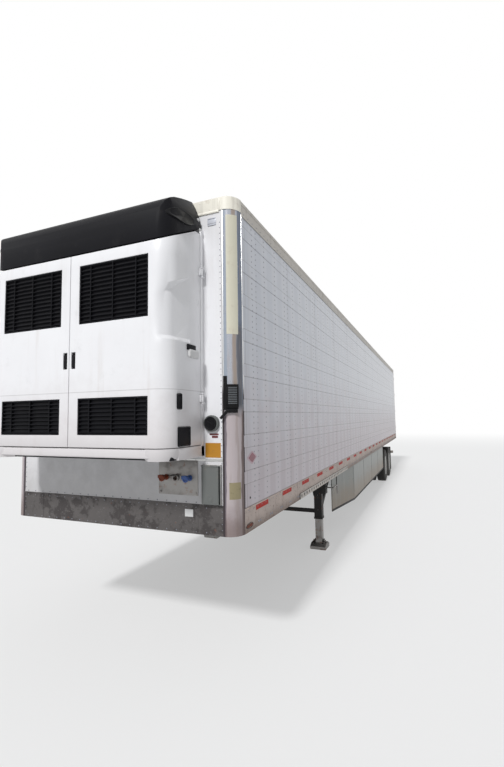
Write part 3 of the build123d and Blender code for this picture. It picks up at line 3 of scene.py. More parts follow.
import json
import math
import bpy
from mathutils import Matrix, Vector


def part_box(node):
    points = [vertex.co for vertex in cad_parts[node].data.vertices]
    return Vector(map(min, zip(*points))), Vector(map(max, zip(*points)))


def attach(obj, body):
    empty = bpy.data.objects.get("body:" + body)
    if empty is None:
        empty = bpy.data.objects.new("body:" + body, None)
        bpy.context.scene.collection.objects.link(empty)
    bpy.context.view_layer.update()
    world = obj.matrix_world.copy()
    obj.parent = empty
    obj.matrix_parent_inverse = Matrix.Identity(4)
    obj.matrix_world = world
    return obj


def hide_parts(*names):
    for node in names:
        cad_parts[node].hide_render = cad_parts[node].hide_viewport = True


bl_info = {
    "name": "Refrigerated Trailer",
    "version": (1, 0, 0),
    "blender": (4, 5, 0),
    "location": "View3D > Sidebar > Trailer",
    "description": "Builds the visible detail and the finishes of a refrigerated semi trailer",
    "category": "Object",
}

import bmesh
import bpy
from bpy.props import FloatProperty, FloatVectorProperty, IntProperty, PointerProperty
from mathutils import Matrix, Vector

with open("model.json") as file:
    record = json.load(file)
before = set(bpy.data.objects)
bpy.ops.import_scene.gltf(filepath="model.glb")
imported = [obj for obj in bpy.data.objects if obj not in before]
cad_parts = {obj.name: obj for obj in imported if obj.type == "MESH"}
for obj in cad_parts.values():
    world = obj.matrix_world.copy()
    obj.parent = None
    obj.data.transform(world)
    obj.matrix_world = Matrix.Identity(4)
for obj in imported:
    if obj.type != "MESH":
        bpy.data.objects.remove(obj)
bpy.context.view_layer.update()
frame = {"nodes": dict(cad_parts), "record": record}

# Places that the CAD gives, in metres: X towards the driver's side, Y to the rear, Z up.
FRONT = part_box("front_wall")[0].y
CORNER_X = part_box("front_wall")[1].x
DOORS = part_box("rear_door_left")[1].y
BEAD_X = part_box("side_wall_left")[1].x
POST_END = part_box("side_wall_left")[0].y
FRAME_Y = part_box("side_wall_left")[1].y
PANEL_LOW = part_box("side_wall_left")[0].z
PANEL_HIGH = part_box("side_wall_left")[1].z
RAIL_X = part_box("bottom_rails")[1].x
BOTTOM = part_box("bottom_rails")[0].z
CAP_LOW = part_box("front_cap")[0].z
CAP_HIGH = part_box("front_cap")[1].z
UNIT_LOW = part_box("unit_housing")[0].z
UNIT_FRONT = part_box("unit_housing")[0].y

# Sizes of the form that the bounding boxes don't give.
BEAD_DEPTH, BEAD_FIRST, BEAD_PITCH, BEAD_WIDTH, BEAD_EDGE = 0.004, 1.638, 0.311, 0.112, 0.008
SKIN_X = BEAD_X - BEAD_DEPTH
WRAP_R = 0.1276
UNIT_HIGH = CAP_HIGH + 0.010
UNIT_HALF = 0.98
UNIT_ROUND = 0.15
DISPLAY_TURN = 34
INNER_WALL = 1.235

# Repeated places: rivet posts, side lamps, the seam of the corner wraps and the two sides' names.
FIRST_POST = FRONT + 0.676
SIDE_LAMPS = (0.222, 8.077, 15.932)
SIDE_LAMP_Z = BOTTOM + 0.053
WRAP_SEAM = 2.22
RAIL_RIVET_PITCH, RAIL_BOLT_PITCH, SLIDER_HOLE_PITCH = 0.1016, 0.305, 0.1524
SIDES = (("left", 1), ("right", -1))


# Sizes and colours a user may change.


def length_property(name, description, default, low, high):
    return FloatProperty(
        name=name, description=description, default=default, min=low, max=high, unit="LENGTH", subtype="DISTANCE"
    )


def colour_property(name, description, default):
    return FloatVectorProperty(
        name=name, description=description, default=default, size=3, min=0.0, max=1.0, subtype="COLOR"
    )


class TrailerSizes(bpy.types.PropertyGroup):
    """Sizes of the trailer's repeated details."""

    rivet_radius: length_property("Rivet radius", "Half the width of a rivet's head", 0.0075, 0.002, 0.02)
    rivet_pitch: length_property("Rivet pitch", "Height between the rivets of a column", 0.05183, 0.02, 0.3)
    post_pitch: length_property("Post pitch", "Distance between the side's rivet columns", 0.3158, 0.1, 1.0)
    sheet_length: length_property("Sheet length", "Distance between the laps of the side sheets", 1.25, 0.5, 5.0)
    tape_length: length_property("Tape length", "Length of each reflective patch", 0.31, 0.05, 1.0)
    tape_pitch: length_property("Tape pitch", "Distance between reflective patches", 0.735, 0.2, 2.0)
    tread_depth: length_property("Tread depth", "Depth of the tyres' grooves", 0.011, 0.002, 0.02)
    tyre_segments: IntProperty(
        name="Tyre segments", description="Steps round a tyre", default=96, min=24, max=192,
    )


class TrailerColours(bpy.types.PropertyGroup):
    """Main colours of the trailer."""

    panel: colour_property("Panel white", "Paint of the front wall and the rear doors", (0.76, 0.76, 0.78))
    # The side's white is darker and bluer than the front's: painted shade and sky light on the sides, which wear the
    # same white paint as the front.
    side: colour_property("Side white", "Paint of the side sheets, cooler than the front", (0.52, 0.55, 0.62))
    cap: colour_property("Cap cream", "Paint of the front cap", (0.80, 0.77, 0.68))
    unit: colour_property("Unit white", "Moulded skin of the cooling unit", (0.77, 0.77, 0.79))
    dust: colour_property("Road dust", "Tan film on the low parts", (0.36, 0.28, 0.21))
    grime: colour_property("Grime", "Dark film in corners and runs", (0.11, 0.095, 0.085))
    rust: colour_property("Rust", "Rusted steel", (0.23, 0.075, 0.03))
    tape: colour_property("Tape red", "Reflective patches", (0.42, 0.020, 0.012))
    # The skirt's dark grey paints the shade under the body on a light grey panel.
    shaded_skirt: colour_property("Skirt", "Panels under the side rails", (0.21, 0.222, 0.21))


def sizes():
    return bpy.context.scene.trailer_sizes


def colours():
    return bpy.context.scene.trailer_colours


# Shader nodes.


def rgba(colour):
    return (*colour[:3], 1.0)


def add(tree, kind, sockets=None, **settings):
    """A new shader node; sockets gives each input a value, or the output that feeds it."""
    made = tree.nodes.new("ShaderNode" + kind)
    for key, value in settings.items():
        setattr(made, key, value)
    for key, value in (sockets or {}).items():
        if isinstance(value, bpy.types.NodeSocket):
            tree.links.new(value, made.inputs[key])
        else:
            made.inputs[key].default_value = value
    return made


def maths(tree, operation, first, second=0.0, third=0.0, clamp=False):
    return add(tree, "Math", {0: first, 1: second, 2: third}, operation=operation, use_clamp=clamp).outputs[0]


def ramp(tree, value, start, end):
    """0 below start, 1 above end, smooth between."""
    inputs = {"Value": value, "From Min": start, "From Max": end}
    return add(tree, "MapRange", inputs, interpolation_type="SMOOTHSTEP").outputs[0]


def fade(tree, value, start, end):
    """1 below start, 0 above end, smooth between."""
    return maths(tree, "SUBTRACT", 1.0, ramp(tree, value, start, end))


def place(tree, stretch=(1.0, 1.0, 1.0)):
    """The Object coordinate, stretched along its axes."""
    coordinate = add(tree, "TexCoord").outputs["Object"]
    if stretch == (1.0, 1.0, 1.0):
        return coordinate
    return add(tree, "VectorMath", {0: coordinate, 1: stretch}, operation="MULTIPLY").outputs[0]


def along(tree, axis):
    return add(tree, "SeparateXYZ", {0: place(tree)}).outputs[axis]


def noise(tree, vector, scale, detail=5.0, roughness=0.6):
    inputs = {"Vector": vector, "Scale": scale, "Detail": detail, "Roughness": roughness}
    return add(tree, "TexNoise", inputs).outputs[0]


def patches(tree, value, coverage, softness, spread=-0.4, start=0.7):
    """The peaks of a noise: more of them with more coverage."""
    start = maths(tree, "MULTIPLY_ADD", coverage, spread, start)
    return ramp(tree, value, start, maths(tree, "ADD", start, softness))


def mottle(tree, given):
    """Cloudy patches of dirt."""
    return patches(tree, noise(tree, place(tree), given["Scale"], 7.0, 0.65), given["Coverage"], given["Softness"])


def runs(tree, given):
    """Dirt that water has drawn down the surface."""
    value = noise(tree, place(tree, (1.0, 1.0, 0.07)), given["Scale"], 4.0, 0.6)
    streak = patches(tree, value, given["Coverage"], given["Softness"])
    return maths(tree, "MULTIPLY", streak, ramp(tree, noise(tree, place(tree), 1.3), 0.3, 0.65))


def low_band(tree, given):
    """A layer full below Low and gone above High, with a broken edge: road film on most finishes, painted shade on the
    edge strips and painted ground reflection on the side sheets.
    """
    rough = maths(tree, "SUBTRACT", noise(tree, place(tree), 5.0, 6.0, 0.7), 0.5)
    spread = maths(tree, "SUBTRACT", given["High"], given["Low"])
    level = maths(tree, "MULTIPLY_ADD", rough, spread, along(tree, "Z"))
    return fade(tree, level, given["Low"], given["High"])


def off_line(tree, coordinate, first, pitch):
    """Distance from the nearest of evenly spaced lines."""
    turn = maths(tree, "DIVIDE", maths(tree, "SUBTRACT", coordinate, first), pitch)
    part = maths(tree, "SUBTRACT", maths(tree, "FRACT", maths(tree, "ADD", turn, 0.5)), 0.5)
    return maths(tree, "MULTIPLY", maths(tree, "ABSOLUTE", part), pitch)


def spots_within(tree, away, size, inner, outer):
    """1 where a distance is less than a share of the size, 0 past the other share."""
    return fade(tree, away, maths(tree, "MULTIPLY", size, inner), maths(tree, "MULTIPLY", size, outer))


def upright_lines(tree, given):
    """Thin lines up the surface, spaced along the trailer."""
    away = off_line(tree, along(tree, "Y"), given["First"], given["Pitch"])
    return spots_within(tree, away, given["Width"], 0.35, 0.65)


def level_lines(tree, given):
    """Thin level lines, spaced by height."""
    away = off_line(tree, along(tree, "Z"), given["First"], given["Pitch"])
    return spots_within(tree, away, given["Width"], 0.35, 0.65)


def dots(tree, given):
    """Round spots on a grid of height against length."""
    across = off_line(tree, along(tree, "Y"), given["First"], given["Pitch"])
    up = off_line(tree, along(tree, "Z"), given["First Up"], given["Pitch Up"])
    square = maths(tree, "ADD", maths(tree, "MULTIPLY", across, across), maths(tree, "MULTIPLY", up, up))
    return spots_within(tree, maths(tree, "SQRT", square), given["Radius"], 0.7, 1.25)


def scratches(tree, given):
    """Fine scrapes along the trailer's length."""
    value = noise(tree, place(tree, (1.0, 0.06, 3.0)), given["Scale"], 3.0, 0.5)
    return patches(tree, value, given["Coverage"], 0.03, -0.3, 0.78)


def bend(tree, given):
    """A band round the front corners, between two angles from the front and two heights, with streaky edges. The
    corner wraps use it for painted reflections and painted shade.
    """
    out = maths(tree, "SUBTRACT", maths(tree, "ABSOLUTE", along(tree, "X")), CORNER_X)
    turn = maths(tree, "ARCTAN2", out, maths(tree, "SUBTRACT", POST_END, along(tree, "Y")))
    streaks = maths(tree, "SUBTRACT", noise(tree, place(tree, (1.0, 1.0, 0.12)), 26.0, 4.0), 0.5)
    angle = maths(tree, "MULTIPLY_ADD", streaks, given["Fray"], maths(tree, "DEGREES", turn))
    bands = []
    for value, low, high, soft in (
        (angle, given["From"], given["To"], given["Soft"]), (along(tree, "Z"), given["Low"], given["High"], 0.06),
    ):
        into, past = (
            ramp(tree, value, maths(tree, "SUBTRACT", edge, soft), maths(tree, "ADD", edge, soft))
            for edge in (low, high)
        )
        bands.append(maths(tree, "SUBTRACT", into, past, clamp=True))
    return maths(tree, "MULTIPLY", *bands)


# Each effect's numbers, in the order in which the layers of a finish give them, and what builds its mask.
SOFT = {"Scale": 3.0, "Coverage": 0.5, "Softness": 0.2}
ROWS = {"First": 0.0, "Pitch": 1.0, "Width": 0.004}
EFFECTS = {
    "Mottle": (SOFT, mottle),
    "Runs": (SOFT, runs),
    "LowBand": ({"Low": 1.2, "High": 2.0}, low_band),
    "Lines": (ROWS, upright_lines),
    "Levels": (ROWS, level_lines),
    "Dots": ({"First": 0.0, "Pitch": 0.3, "First Up": 0.0, "Pitch Up": 0.1, "Radius": 0.01}, dots),
    "Scratches": ({"Scale": 60.0, "Coverage": 0.3}, scratches),
    "Bend": ({"From": 0.0, "To": 90.0, "Low": 0.0, "High": 9.0, "Fray": 20.0, "Soft": 4.0}, bend),
}
MADE = {}


def effect(name):
    """An effect's shader node group of plain numbers, built once and shared by the materials."""
    tree = bpy.data.node_groups.get(name)
    if tree is not None:
        return tree
    inputs, build = EFFECTS[name]
    tree = bpy.data.node_groups.new(name, "ShaderNodeTree")
    for label, value in inputs.items():
        socket = tree.interface.new_socket(name=label, in_out="INPUT", socket_type="NodeSocketFloat")
        socket.default_value = value
    tree.interface.new_socket(name="Mask", in_out="OUTPUT", socket_type="NodeSocketFloat")
    source, sink = tree.nodes.new("NodeGroupInput"), tree.nodes.new("NodeGroupOutput")
    tree.links.new(build(tree, source.outputs), sink.inputs["Mask"])
    return tree


def finish(name, colour, roughness, scale, height, tint, *layers, metallic=0.0, coat=0.0, specular=0.5):
    """A material: mottled colour and fine grain under layers of (effect, strength, colour, roughness, numbers)."""
    material = bpy.data.materials.new(name)
    material.use_nodes = True
    tree = material.node_tree
    tree.nodes.clear()
    shade = maths(tree, "MULTIPLY_ADD", noise(tree, place(tree), 2.2, 6.0, 0.6), 2 * tint, 1 - tint)
    tone = add(tree, "VectorMath", {0: tuple(colour[:3]), 3: shade}, operation="SCALE").outputs[0]
    fine = noise(tree, place(tree), scale, 4.0, 0.6)
    rough = maths(tree, "MULTIPLY_ADD", fine, 0.12, roughness - 0.06)
    metal = metallic
    for kind, strength, over, dull, *values in layers:
        group = add(tree, "Group", dict(zip(EFFECTS[kind][0], values)), node_tree=effect(kind))
        mask = maths(tree, "MULTIPLY", group.outputs["Mask"], strength)
        tone = add(tree, "Mix", {0: mask, 6: tone, 7: rgba(over)}, data_type="RGBA").outputs[2]
        rough = add(tree, "Mix", {0: mask, 2: rough, 3: dull}, data_type="FLOAT").outputs[0]
        if metallic:
            metal = add(tree, "Mix", {0: mask, 2: metal, 3: 0.0}, data_type="FLOAT").outputs[0]
    bump = add(tree, "Bump", {"Height": fine, "Distance": height, "Strength": 0.6})
    shader = add(tree, "BsdfPrincipled", {
        "Base Color": tone, "Roughness": rough, "Metallic": metal, "Coat Weight": coat,
        "Coat Roughness": 0.12, "Specular IOR Level": specular, "Normal": bump.outputs[0],
    })
    add(tree, "OutputMaterial", {"Surface": shader.outputs[0]})
    MADE[name] = material


def finishes():
    """Every finish of the trailer, by its slot in the record or by its own name, made once."""
    if not MADE:
        body_finishes()
        gear_finishes()
        fitting_finishes()
    return MADE


def body_finishes():
    """The insulated body: sides, front wall, cap, corners, rails, roof, floor and liner."""
    c, size = colours(), sizes()
    dust, grime, rust = c.dust, c.grime, c.rust
    # The side sheets' base colour is the shaded side white: painted shade and sky light on white paint.
    finish(
        "white_panel", c.side, 0.3, 9, 0.0012, 0.05,
        ("Runs", 0.16, dust, 0.5, 9, 0.55, 0.25),
        # A pinkish layer that rises up to 3 m: painted reflection of the ground on the white sides, with some road
        # film at the bottom.
        ("LowBand", 0.62, (0.50, 0.395, 0.41), 0.6, 1.5, 3.0),
        # Pale bands at every rivet post: painted highlights on the side sheets.
        ("Lines", 0.16, (0.80, 0.80, 0.84), 0.3, FIRST_POST, size.post_pitch, 0.16),
        ("Mottle", 0.10, grime, 0.5, 4, 0.4, 0.3),
        ("Levels", 0.42, grime, 0.6, BEAD_FIRST + BEAD_WIDTH / 2, BEAD_PITCH, BEAD_EDGE),
        ("Levels", 0.42, grime, 0.6, BEAD_FIRST - BEAD_WIDTH / 2, BEAD_PITCH, BEAD_EDGE),
        ("Lines", 0.5, grime, 0.6, FRONT + 1.44, size.sheet_length, 0.006),
        ("Dots", 0.22, grime, 0.6, FIRST_POST, size.post_pitch, BEAD_FIRST, size.rivet_pitch, 0.0105),
        coat=0.25,
    )
    finish(
        "front_panel", c.panel, 0.32, 8, 0.0015, 0.05,
        ("Runs", 0.12, dust, 0.5, 9, 0.5, 0.25),
        ("LowBand", 0.4, grime, 0.6, 1.35, 2.3),
        ("Mottle", 0.12, dust, 0.5, 5, 0.4, 0.3),
        coat=0.2,
    )
    finish(
        "cream_paint", c.cap, 0.42, 25, 0.0006, 0.07,
        ("Runs", 0.35, grime, 0.6, 14, 0.45, 0.2),
        ("Mottle", 0.4, dust, 0.6, 9, 0.4, 0.2),
        coat=0.1,
    )
    # The corner wraps' colours paint light on the metal: the cool base colour is partly painted sky reflection, and
    # the bands above the seam (bluish, dark blue, warm and dark) are painted reflections round the bend.
    finish(
        "corner_metal", (0.40, 0.42, 0.47), 0.25, 6, 0.0012, 0.12,
        ("Bend", 0.9, (0.27, 0.31, 0.37), 0.25, -20, 16, WRAP_SEAM, 9, 6, 3),
        ("Bend", 0.9, (0.10, 0.135, 0.20), 0.25, 63, 110, WRAP_SEAM, 9, 6, 3),
        ("Bend", 0.9, (0.30, 0.24, 0.20), 0.3, 38, 54, WRAP_SEAM, 9, 18),
        ("Bend", 0.9, (0.085, 0.09, 0.11), 0.3, 54, 84, WRAP_SEAM, 2.95, 18),
        # Below the seam: the lilac tone paints the shade over the lower wrap, the warm band is a painted reflection,
        # and the dark bands at both edges are painted shade.
        ("Bend", 1.0, (0.41, 0.36, 0.37), 0.5, -20, 110, 0, WRAP_SEAM),
        ("Bend", 0.6, (0.30, 0.25, 0.235), 0.5, 44, 60, 0, WRAP_SEAM, 50, 6),
        ("Bend", 0.9, (0.10, 0.085, 0.105), 0.5, -20, 9, 0, WRAP_SEAM, 20, 2),
        ("Bend", 0.9, (0.11, 0.075, 0.07), 0.6, 74, 110, 0, WRAP_SEAM, 20, 2),
        ("Runs", 0.45, (0.30, 0.25, 0.23), 0.5, 40, 0.45, 0.12),
        ("LowBand", 0.7, (0.13, 0.09, 0.08), 0.7, 1.2, 1.5),
        ("Mottle", 0.3, dust, 0.7, 14, 0.25, 0.15),
        metallic=0.5,
    )
    # The steel at the foot of the front wall is darker than its real grey: painted shade, with real rust and
    # scratches.
    finish(
        "front_steel", (0.10, 0.092, 0.09), 0.5, 30, 0.0008, 0.3,
        ("Mottle", 0.8, (0.025, 0.02, 0.02), 0.7, 9, 0.6, 0.12),
        ("Scratches", 0.4, (0.24, 0.23, 0.23), 0.4, 40, 0.4),
        ("Mottle", 0.5, rust, 0.85, 17, 0.16, 0.08),
        metallic=0.4,
    )
    finish(
        "rail_metal", (0.42, 0.40, 0.37), 0.5, 40, 0.0005, 0.12,
        ("Runs", 0.5, (0.30, 0.26, 0.22), 0.7, 16, 0.5, 0.2),
        ("Mottle", 0.4, grime, 0.7, 10, 0.3, 0.15),
        metallic=0.7,
    )
    finish(
        "lower_rail_metal", (0.50, 0.42, 0.38), 0.65, 40, 0.0006, 0.2,
        ("Mottle", 0.4, (0.30, 0.19, 0.15), 0.8, 8, 0.45, 0.2),
        ("Runs", 0.5, (0.16, 0.09, 0.065), 0.8, 24, 0.3, 0.12),
        ("Mottle", 0.65, (0.12, 0.065, 0.045), 0.9, 42, 0.31, 0.08),
        ("Mottle", 0.85, (0.13, 0.04, 0.02), 0.9, 26, 0.16, 0.06),
        ("LowBand", 0.55, (0.10, 0.065, 0.05), 0.8, 1.17, 1.29),
        metallic=0.1,
    )
    finish(
        "roof_metal", (0.70, 0.70, 0.69), 0.55, 8, 0.0015, 0.08,
        ("Mottle", 0.35, dust, 0.7, 2, 0.5, 0.3),
        ("Mottle", 0.3, grime, 0.7, 9, 0.3, 0.2),
        ("Lines", 0.3, grime, 0.7, FRONT + 0.4, 0.61, 0.022),
        ("Dots", 0.6, grime, 0.6, FRONT + 0.4, 0.1, 4.101, 3.0, 0.012),
    )
    finish(
        "floor_metal", (0.56, 0.57, 0.57), 0.42, 50, 0.0004, 0.12,
        ("Scratches", 0.6, (0.75, 0.75, 0.75), 0.3, 60, 0.6),
        ("Mottle", 0.4, grime, 0.7, 5, 0.4, 0.2),
        metallic=0.8,
    )
    finish(
        "liner_plastic", (0.74, 0.75, 0.73), 0.45, 90, 0.0004, 0.05,
        ("Scratches", 0.4, (0.35, 0.34, 0.33), 0.6, 30, 0.35),
        ("Mottle", 0.2, dust, 0.6, 4, 0.4, 0.25),
    )


def gear_finishes():
    """Steel, rubber and paint under the body and at the rear."""
    c = colours()
    dust, grime, rust = c.dust, c.grime, c.rust
    finish(
        "black_steel", (0.020, 0.019, 0.019), 0.55, 70, 0.0005, 0.3,
        ("Mottle", 0.28, dust, 0.85, 6, 0.45, 0.25),
        ("Mottle", 0.7, rust, 0.9, 13, 0.25, 0.1),
        specular=0.25,
    )
    finish(
        "bare_steel", (0.30, 0.29, 0.28), 0.45, 60, 0.0005, 0.2,
        ("Mottle", 0.7, rust, 0.85, 12, 0.4, 0.15),
        ("Mottle", 0.6, grime, 0.6, 5, 0.4, 0.2),
        metallic=0.8,
    )
    finish(
        "frame_steel", (0.58, 0.58, 0.57), 0.34, 40, 0.0004, 0.08,
        ("Runs", 0.35, grime, 0.6, 18, 0.4, 0.2),
        ("LowBand", 0.5, dust, 0.75, 1.1, 1.7),
        metallic=1.0,
    )
    # The skirts' base colour is painted shade on a light grey panel.
    finish(
        "skirt_panel", c.shaded_skirt, 0.42, 7, 0.0015, 0.08,
        ("LowBand", 0.6, dust, 0.8, 0.5, 1.0),
        ("Runs", 0.3, (0.42, 0.42, 0.40), 0.5, 8, 0.45, 0.2),
        ("Scratches", 0.3, grime, 0.7, 25, 0.3),
        metallic=0.25, coat=0.1,
    )
    finish(
        "tank_metal", (0.62, 0.63, 0.63), 0.28, 30, 0.0004, 0.08,
        ("Mottle", 0.5, dust, 0.75, 6, 0.45, 0.2),
        ("Scratches", 0.3, (0.3, 0.3, 0.3), 0.5, 45, 0.3),
        metallic=1.0,
    )
    finish("rubber", (0.028, 0.028, 0.028), 0.75, 120, 0.0006, 0.3, ("Mottle", 0.35, dust, 0.9, 9, 0.4, 0.25))
    finish(
        "tyre_rubber", (0.030, 0.029, 0.028), 0.78, 140, 0.0008, 0.3,
        ("Mottle", 0.5, (0.17, 0.14, 0.115), 0.92, 5, 0.5, 0.3),
        ("Mottle", 0.3, (0.09, 0.08, 0.07), 0.9, 30, 0.5, 0.2),
    )
    finish(
        "wheel_steel", (0.66, 0.66, 0.64), 0.42, 50, 0.0005, 0.06,
        ("Mottle", 0.6, dust, 0.8, 8, 0.45, 0.25),
        ("Mottle", 0.8, rust, 0.85, 20, 0.16, 0.08),
        coat=0.1,
    )
    finish(
        "lamp_red", (0.17, 0.035, 0.014), 0.3, 200, 0.0006, 0.15,
        ("Mottle", 0.6, (0.13, 0.06, 0.03), 0.8, 22, 0.5, 0.2),
        specular=0.25,
    )


def fitting_finishes():
    """The cooling unit, the fittings at the front, rivets, tape, labels and signs."""
    c = colours()
    dust, grime = c.dust, c.grime
    finish(
        "unit_skin", c.unit, 0.36, 7, 0.0012, 0.05,
        ("Runs", 0.2, dust, 0.5, 10, 0.45, 0.25),
        ("Mottle", 0.16, grime, 0.6, 5, 0.4, 0.3),
        ("LowBand", 0.3, (0.30, 0.22, 0.20), 0.6, 1.9, 2.6),
        ("Levels", 0.3, grime, 0.6, 2.381, 9, 0.006),
        coat=0.2,
    )
    finish(
        "unit_black", (0.007, 0.007, 0.009), 0.5, 160, 0.0004, 0.3,
        ("Mottle", 0.22, (0.06, 0.056, 0.055), 0.7, 6, 0.4, 0.3),
        specular=0.1,
    )
    finish("engine_block", (0.10, 0.11, 0.12), 0.6, 80, 0.001, 0.3, ("Mottle", 0.6, grime, 0.5, 12, 0.5, 0.2))
    # The box's grey is darker than its real mid grey: painted shade on the front.
    finish(
        "grey_box", (0.115, 0.122, 0.118), 0.5, 150, 0.0005, 0.1,
        ("Runs", 0.4, grime, 0.7, 20, 0.45, 0.2),
        ("Mottle", 0.3, dust, 0.7, 10, 0.35, 0.2),
    )
    finish(
        "black_plastic", (0.007, 0.007, 0.008), 0.42, 180, 0.0004, 0.3,
        ("Mottle", 0.22, (0.07, 0.06, 0.055), 0.7, 14, 0.35, 0.25),
        specular=0.14,
    )
    finish(
        "rivet_head", (0.24, 0.245, 0.285), 0.4, 90, 0.0003, 0.2,
        ("Mottle", 0.5, grime, 0.7, 6, 0.5, 0.2),
        metallic=0.3,
    )
    # The edge strips turn near black below 2.3 m: painted shade over the lower corners; above it they keep their
    # bright metal.
    finish(
        "edge_strip", (0.66, 0.66, 0.66), 0.3, 60, 0.0003, 0.08,
        ("LowBand", 1.0, (0.035, 0.026, 0.03), 0.8, 2.3, 2.5),
        metallic=0.8,
    )
    finish(
        "red_tape", c.tape, 0.75, 500, 0.0004, 0.2,
        ("Mottle", 0.8, (0.34, 0.20, 0.17), 0.8, 9, 0.12, 0.05),
        ("Mottle", 0.5, (0.16, 0.03, 0.025), 0.8, 5, 0.4, 0.1),
    )
    for name, colour, roughness, tint, strength, over, scale, coverage, softness in (
        ("cream_decal", (0.58, 0.56, 0.455), 0.4, 0.08, 0.3, dust, 12, 0.4, 0.2),
        # The orange label is darker than its real orange: painted shade.
        ("orange_label", (0.40, 0.18, 0.010), 0.5, 0.1, 0.4, grime, 16, 0.35, 0.2),
        ("green_label", (0.25, 0.215, 0.125), 0.6, 0.12, 0.6, (0.13, 0.115, 0.06), 26, 0.4, 0.15),
        ("dark_red_label", (0.11, 0.02, 0.022), 0.6, 0.15, 0.5, (0.3, 0.22, 0.2), 30, 0.25, 0.1),
        ("pink_sign", (0.50, 0.36, 0.41), 0.4, 0.15, 0.6, (0.45, 0.33, 0.36), 28, 0.4, 0.2),
        ("red_sign", (0.26, 0.085, 0.115), 0.4, 0.15, 0.6, (0.34, 0.18, 0.20), 34, 0.4, 0.2),
        ("pale_sign", (0.60, 0.60, 0.60), 0.4, 0.08, 0.5, grime, 14, 0.35, 0.2),
    ):
        worn = ("Mottle", strength, over, 0.6, scale, coverage, softness)
        finish(name, colour, roughness, 90, 0.0002, tint, worn)
    # The near-black slot and row of dots are painted holes in the strip: their black is painted shade inside them.
    finish(
        "pierced_metal", (0.50, 0.46, 0.42), 0.55, 60, 0.0004, 0.15,
        ("Mottle", 0.5, (0.20, 0.14, 0.11), 0.8, 9, 0.4, 0.2),
        ("Levels", 0.9, (0.02, 0.016, 0.014), 0.9, BOTTOM + 0.070, 3, 0.010),
        ("Lines", 1.0, (0.012, 0.010, 0.009), 0.9, FRONT + 1.735, 9, 0.034),
        ("Dots", 1.0, (0.012, 0.011, 0.01), 0.9, FRONT + 1.81, 0.115, BOTTOM + 0.034, 2, 0.0185),
        metallic=0.2,
    )
    finish("blue_paint", (0.03, 0.08, 0.26), 0.4, 60, 0.0004, 0.15, ("Mottle", 0.5, grime, 0.7, 14, 0.4, 0.2))
    finish(
        "chrome", (0.72, 0.72, 0.73), 0.12, 60, 0.0002, 0.05,
        ("Mottle", 0.3, dust, 0.6, 25, 0.35, 0.2),
        metallic=1.0,
    )


# Mesh helpers. Boxes, rods, studs, turned pieces and prisms return their verts, so that repeated() can copy them.


def only(kind, items):
    return [item for item in items if isinstance(item, kind)]


def edges_of(verts):
    return list({edge for vert in verts for edge in vert.link_edges})


def rounded(bm, edges, width, segments=2):
    """Bevels edges; returns the verts of the faces that this makes."""
    faces = bmesh.ops.bevel(
        bm, geom=edges, offset=width, segments=segments, affect="EDGES", profile=0.5, material=-1
    )["faces"]
    return list({vert for face in faces for vert in face.verts})


def add_box(bm, low, high, bevel=0.0, segments=2):
    """A box between two corners, with rounded edges where a bevel is given."""
    low, high = Vector(low), Vector(high)
    made = bmesh.ops.create_cube(bm, size=1)["verts"]
    bmesh.ops.scale(bm, vec=high - low, verts=made)
    bmesh.ops.translate(bm, vec=(low + high) / 2, verts=made)
    return rounded(bm, edges_of(made), bevel, segments) if bevel else made


def add_rod(bm, start, end, radius, segments=16, tip=None, bevel=0.0):
    """A round bar or cone frustum between two points."""
    start, end = Vector(start), Vector(end)
    line = end - start
    turn = line.to_track_quat("Z", "Y").to_matrix().to_4x4()
    made = bmesh.ops.create_cone(
        bm, cap_ends=True, segments=segments, radius1=radius, radius2=radius if tip is None else tip,
        depth=line.length, matrix=Matrix.Translation((start + end) / 2) @ turn,
    )["verts"]
    if not bevel:
        return made
    rims = [edge for edge in edges_of(made) if any(len(face.verts) > 4 for face in edge.link_faces)]
    return rounded(bm, rims, bevel)


def add_stud(bm, spot, out, *form, **more):
    """A rod that stands on a spot and reaches out from it, such as a rivet's head."""
    return add_rod(bm, spot, Vector(spot) + Vector(out), *form, **more)


def add_heads(bm, spots, out, radius=0.011):
    """Bolt heads with washers on a flat face, each pointing out of it."""
    out = Vector(out)
    for spot in map(Vector, spots):
        add_rod(bm, spot - out * 0.001, spot + out * 0.002, radius * 1.35, 12)
        add_rod(bm, spot + out * 0.0015, spot + out * radius * 0.75, radius, 6, radius * 0.93)


def add_turned(bm, outline, centre, axis, segments, closed=False):
    """A turned piece: outline gives (distance along the axis, radius), spun a full turn round it."""
    axis, centre = Vector(axis), Vector(centre)
    across = axis.orthogonal().normalized()
    verts = [bm.verts.new(centre + axis * step + across * radius) for step, radius in outline]
    edges = [bm.edges.new(pair) for pair in zip(verts, verts[1:])]
    if closed:
        edges.append(bm.edges.new((verts[-1], verts[0])))
    before = set(bm.verts)
    bmesh.ops.spin(
        bm, geom=verts + edges, cent=centre, axis=axis, angle=math.tau, steps=segments, use_merge=True
    )
    made = verts + [vert for vert in bm.verts if vert not in before]
    bmesh.ops.remove_doubles(bm, verts=made, dist=1e-6)
    return [vert for vert in made if vert.is_valid]


def add_prism(bm, corners, along_vector, bevel=0.0, segments=2):
    """A flat outline pushed along a vector."""
    face = bm.faces.new([bm.verts.new(corner) for corner in corners])
    made = bmesh.ops.extrude_face_region(bm, geom=[face], use_keep_orig=True)["geom"]
    far = only(bmesh.types.BMVert, made)
    bmesh.ops.translate(bm, vec=Vector(along_vector), verts=far)
    verts = list(face.verts) + far
    return rounded(bm, edges_of(verts), bevel, segments) if bevel else verts


def whole(verts):
    """The verts with their edges and faces, as bmesh's duplicate wants them."""
    return list(verts) + edges_of(verts) + list({face for vert in verts for face in vert.link_faces})


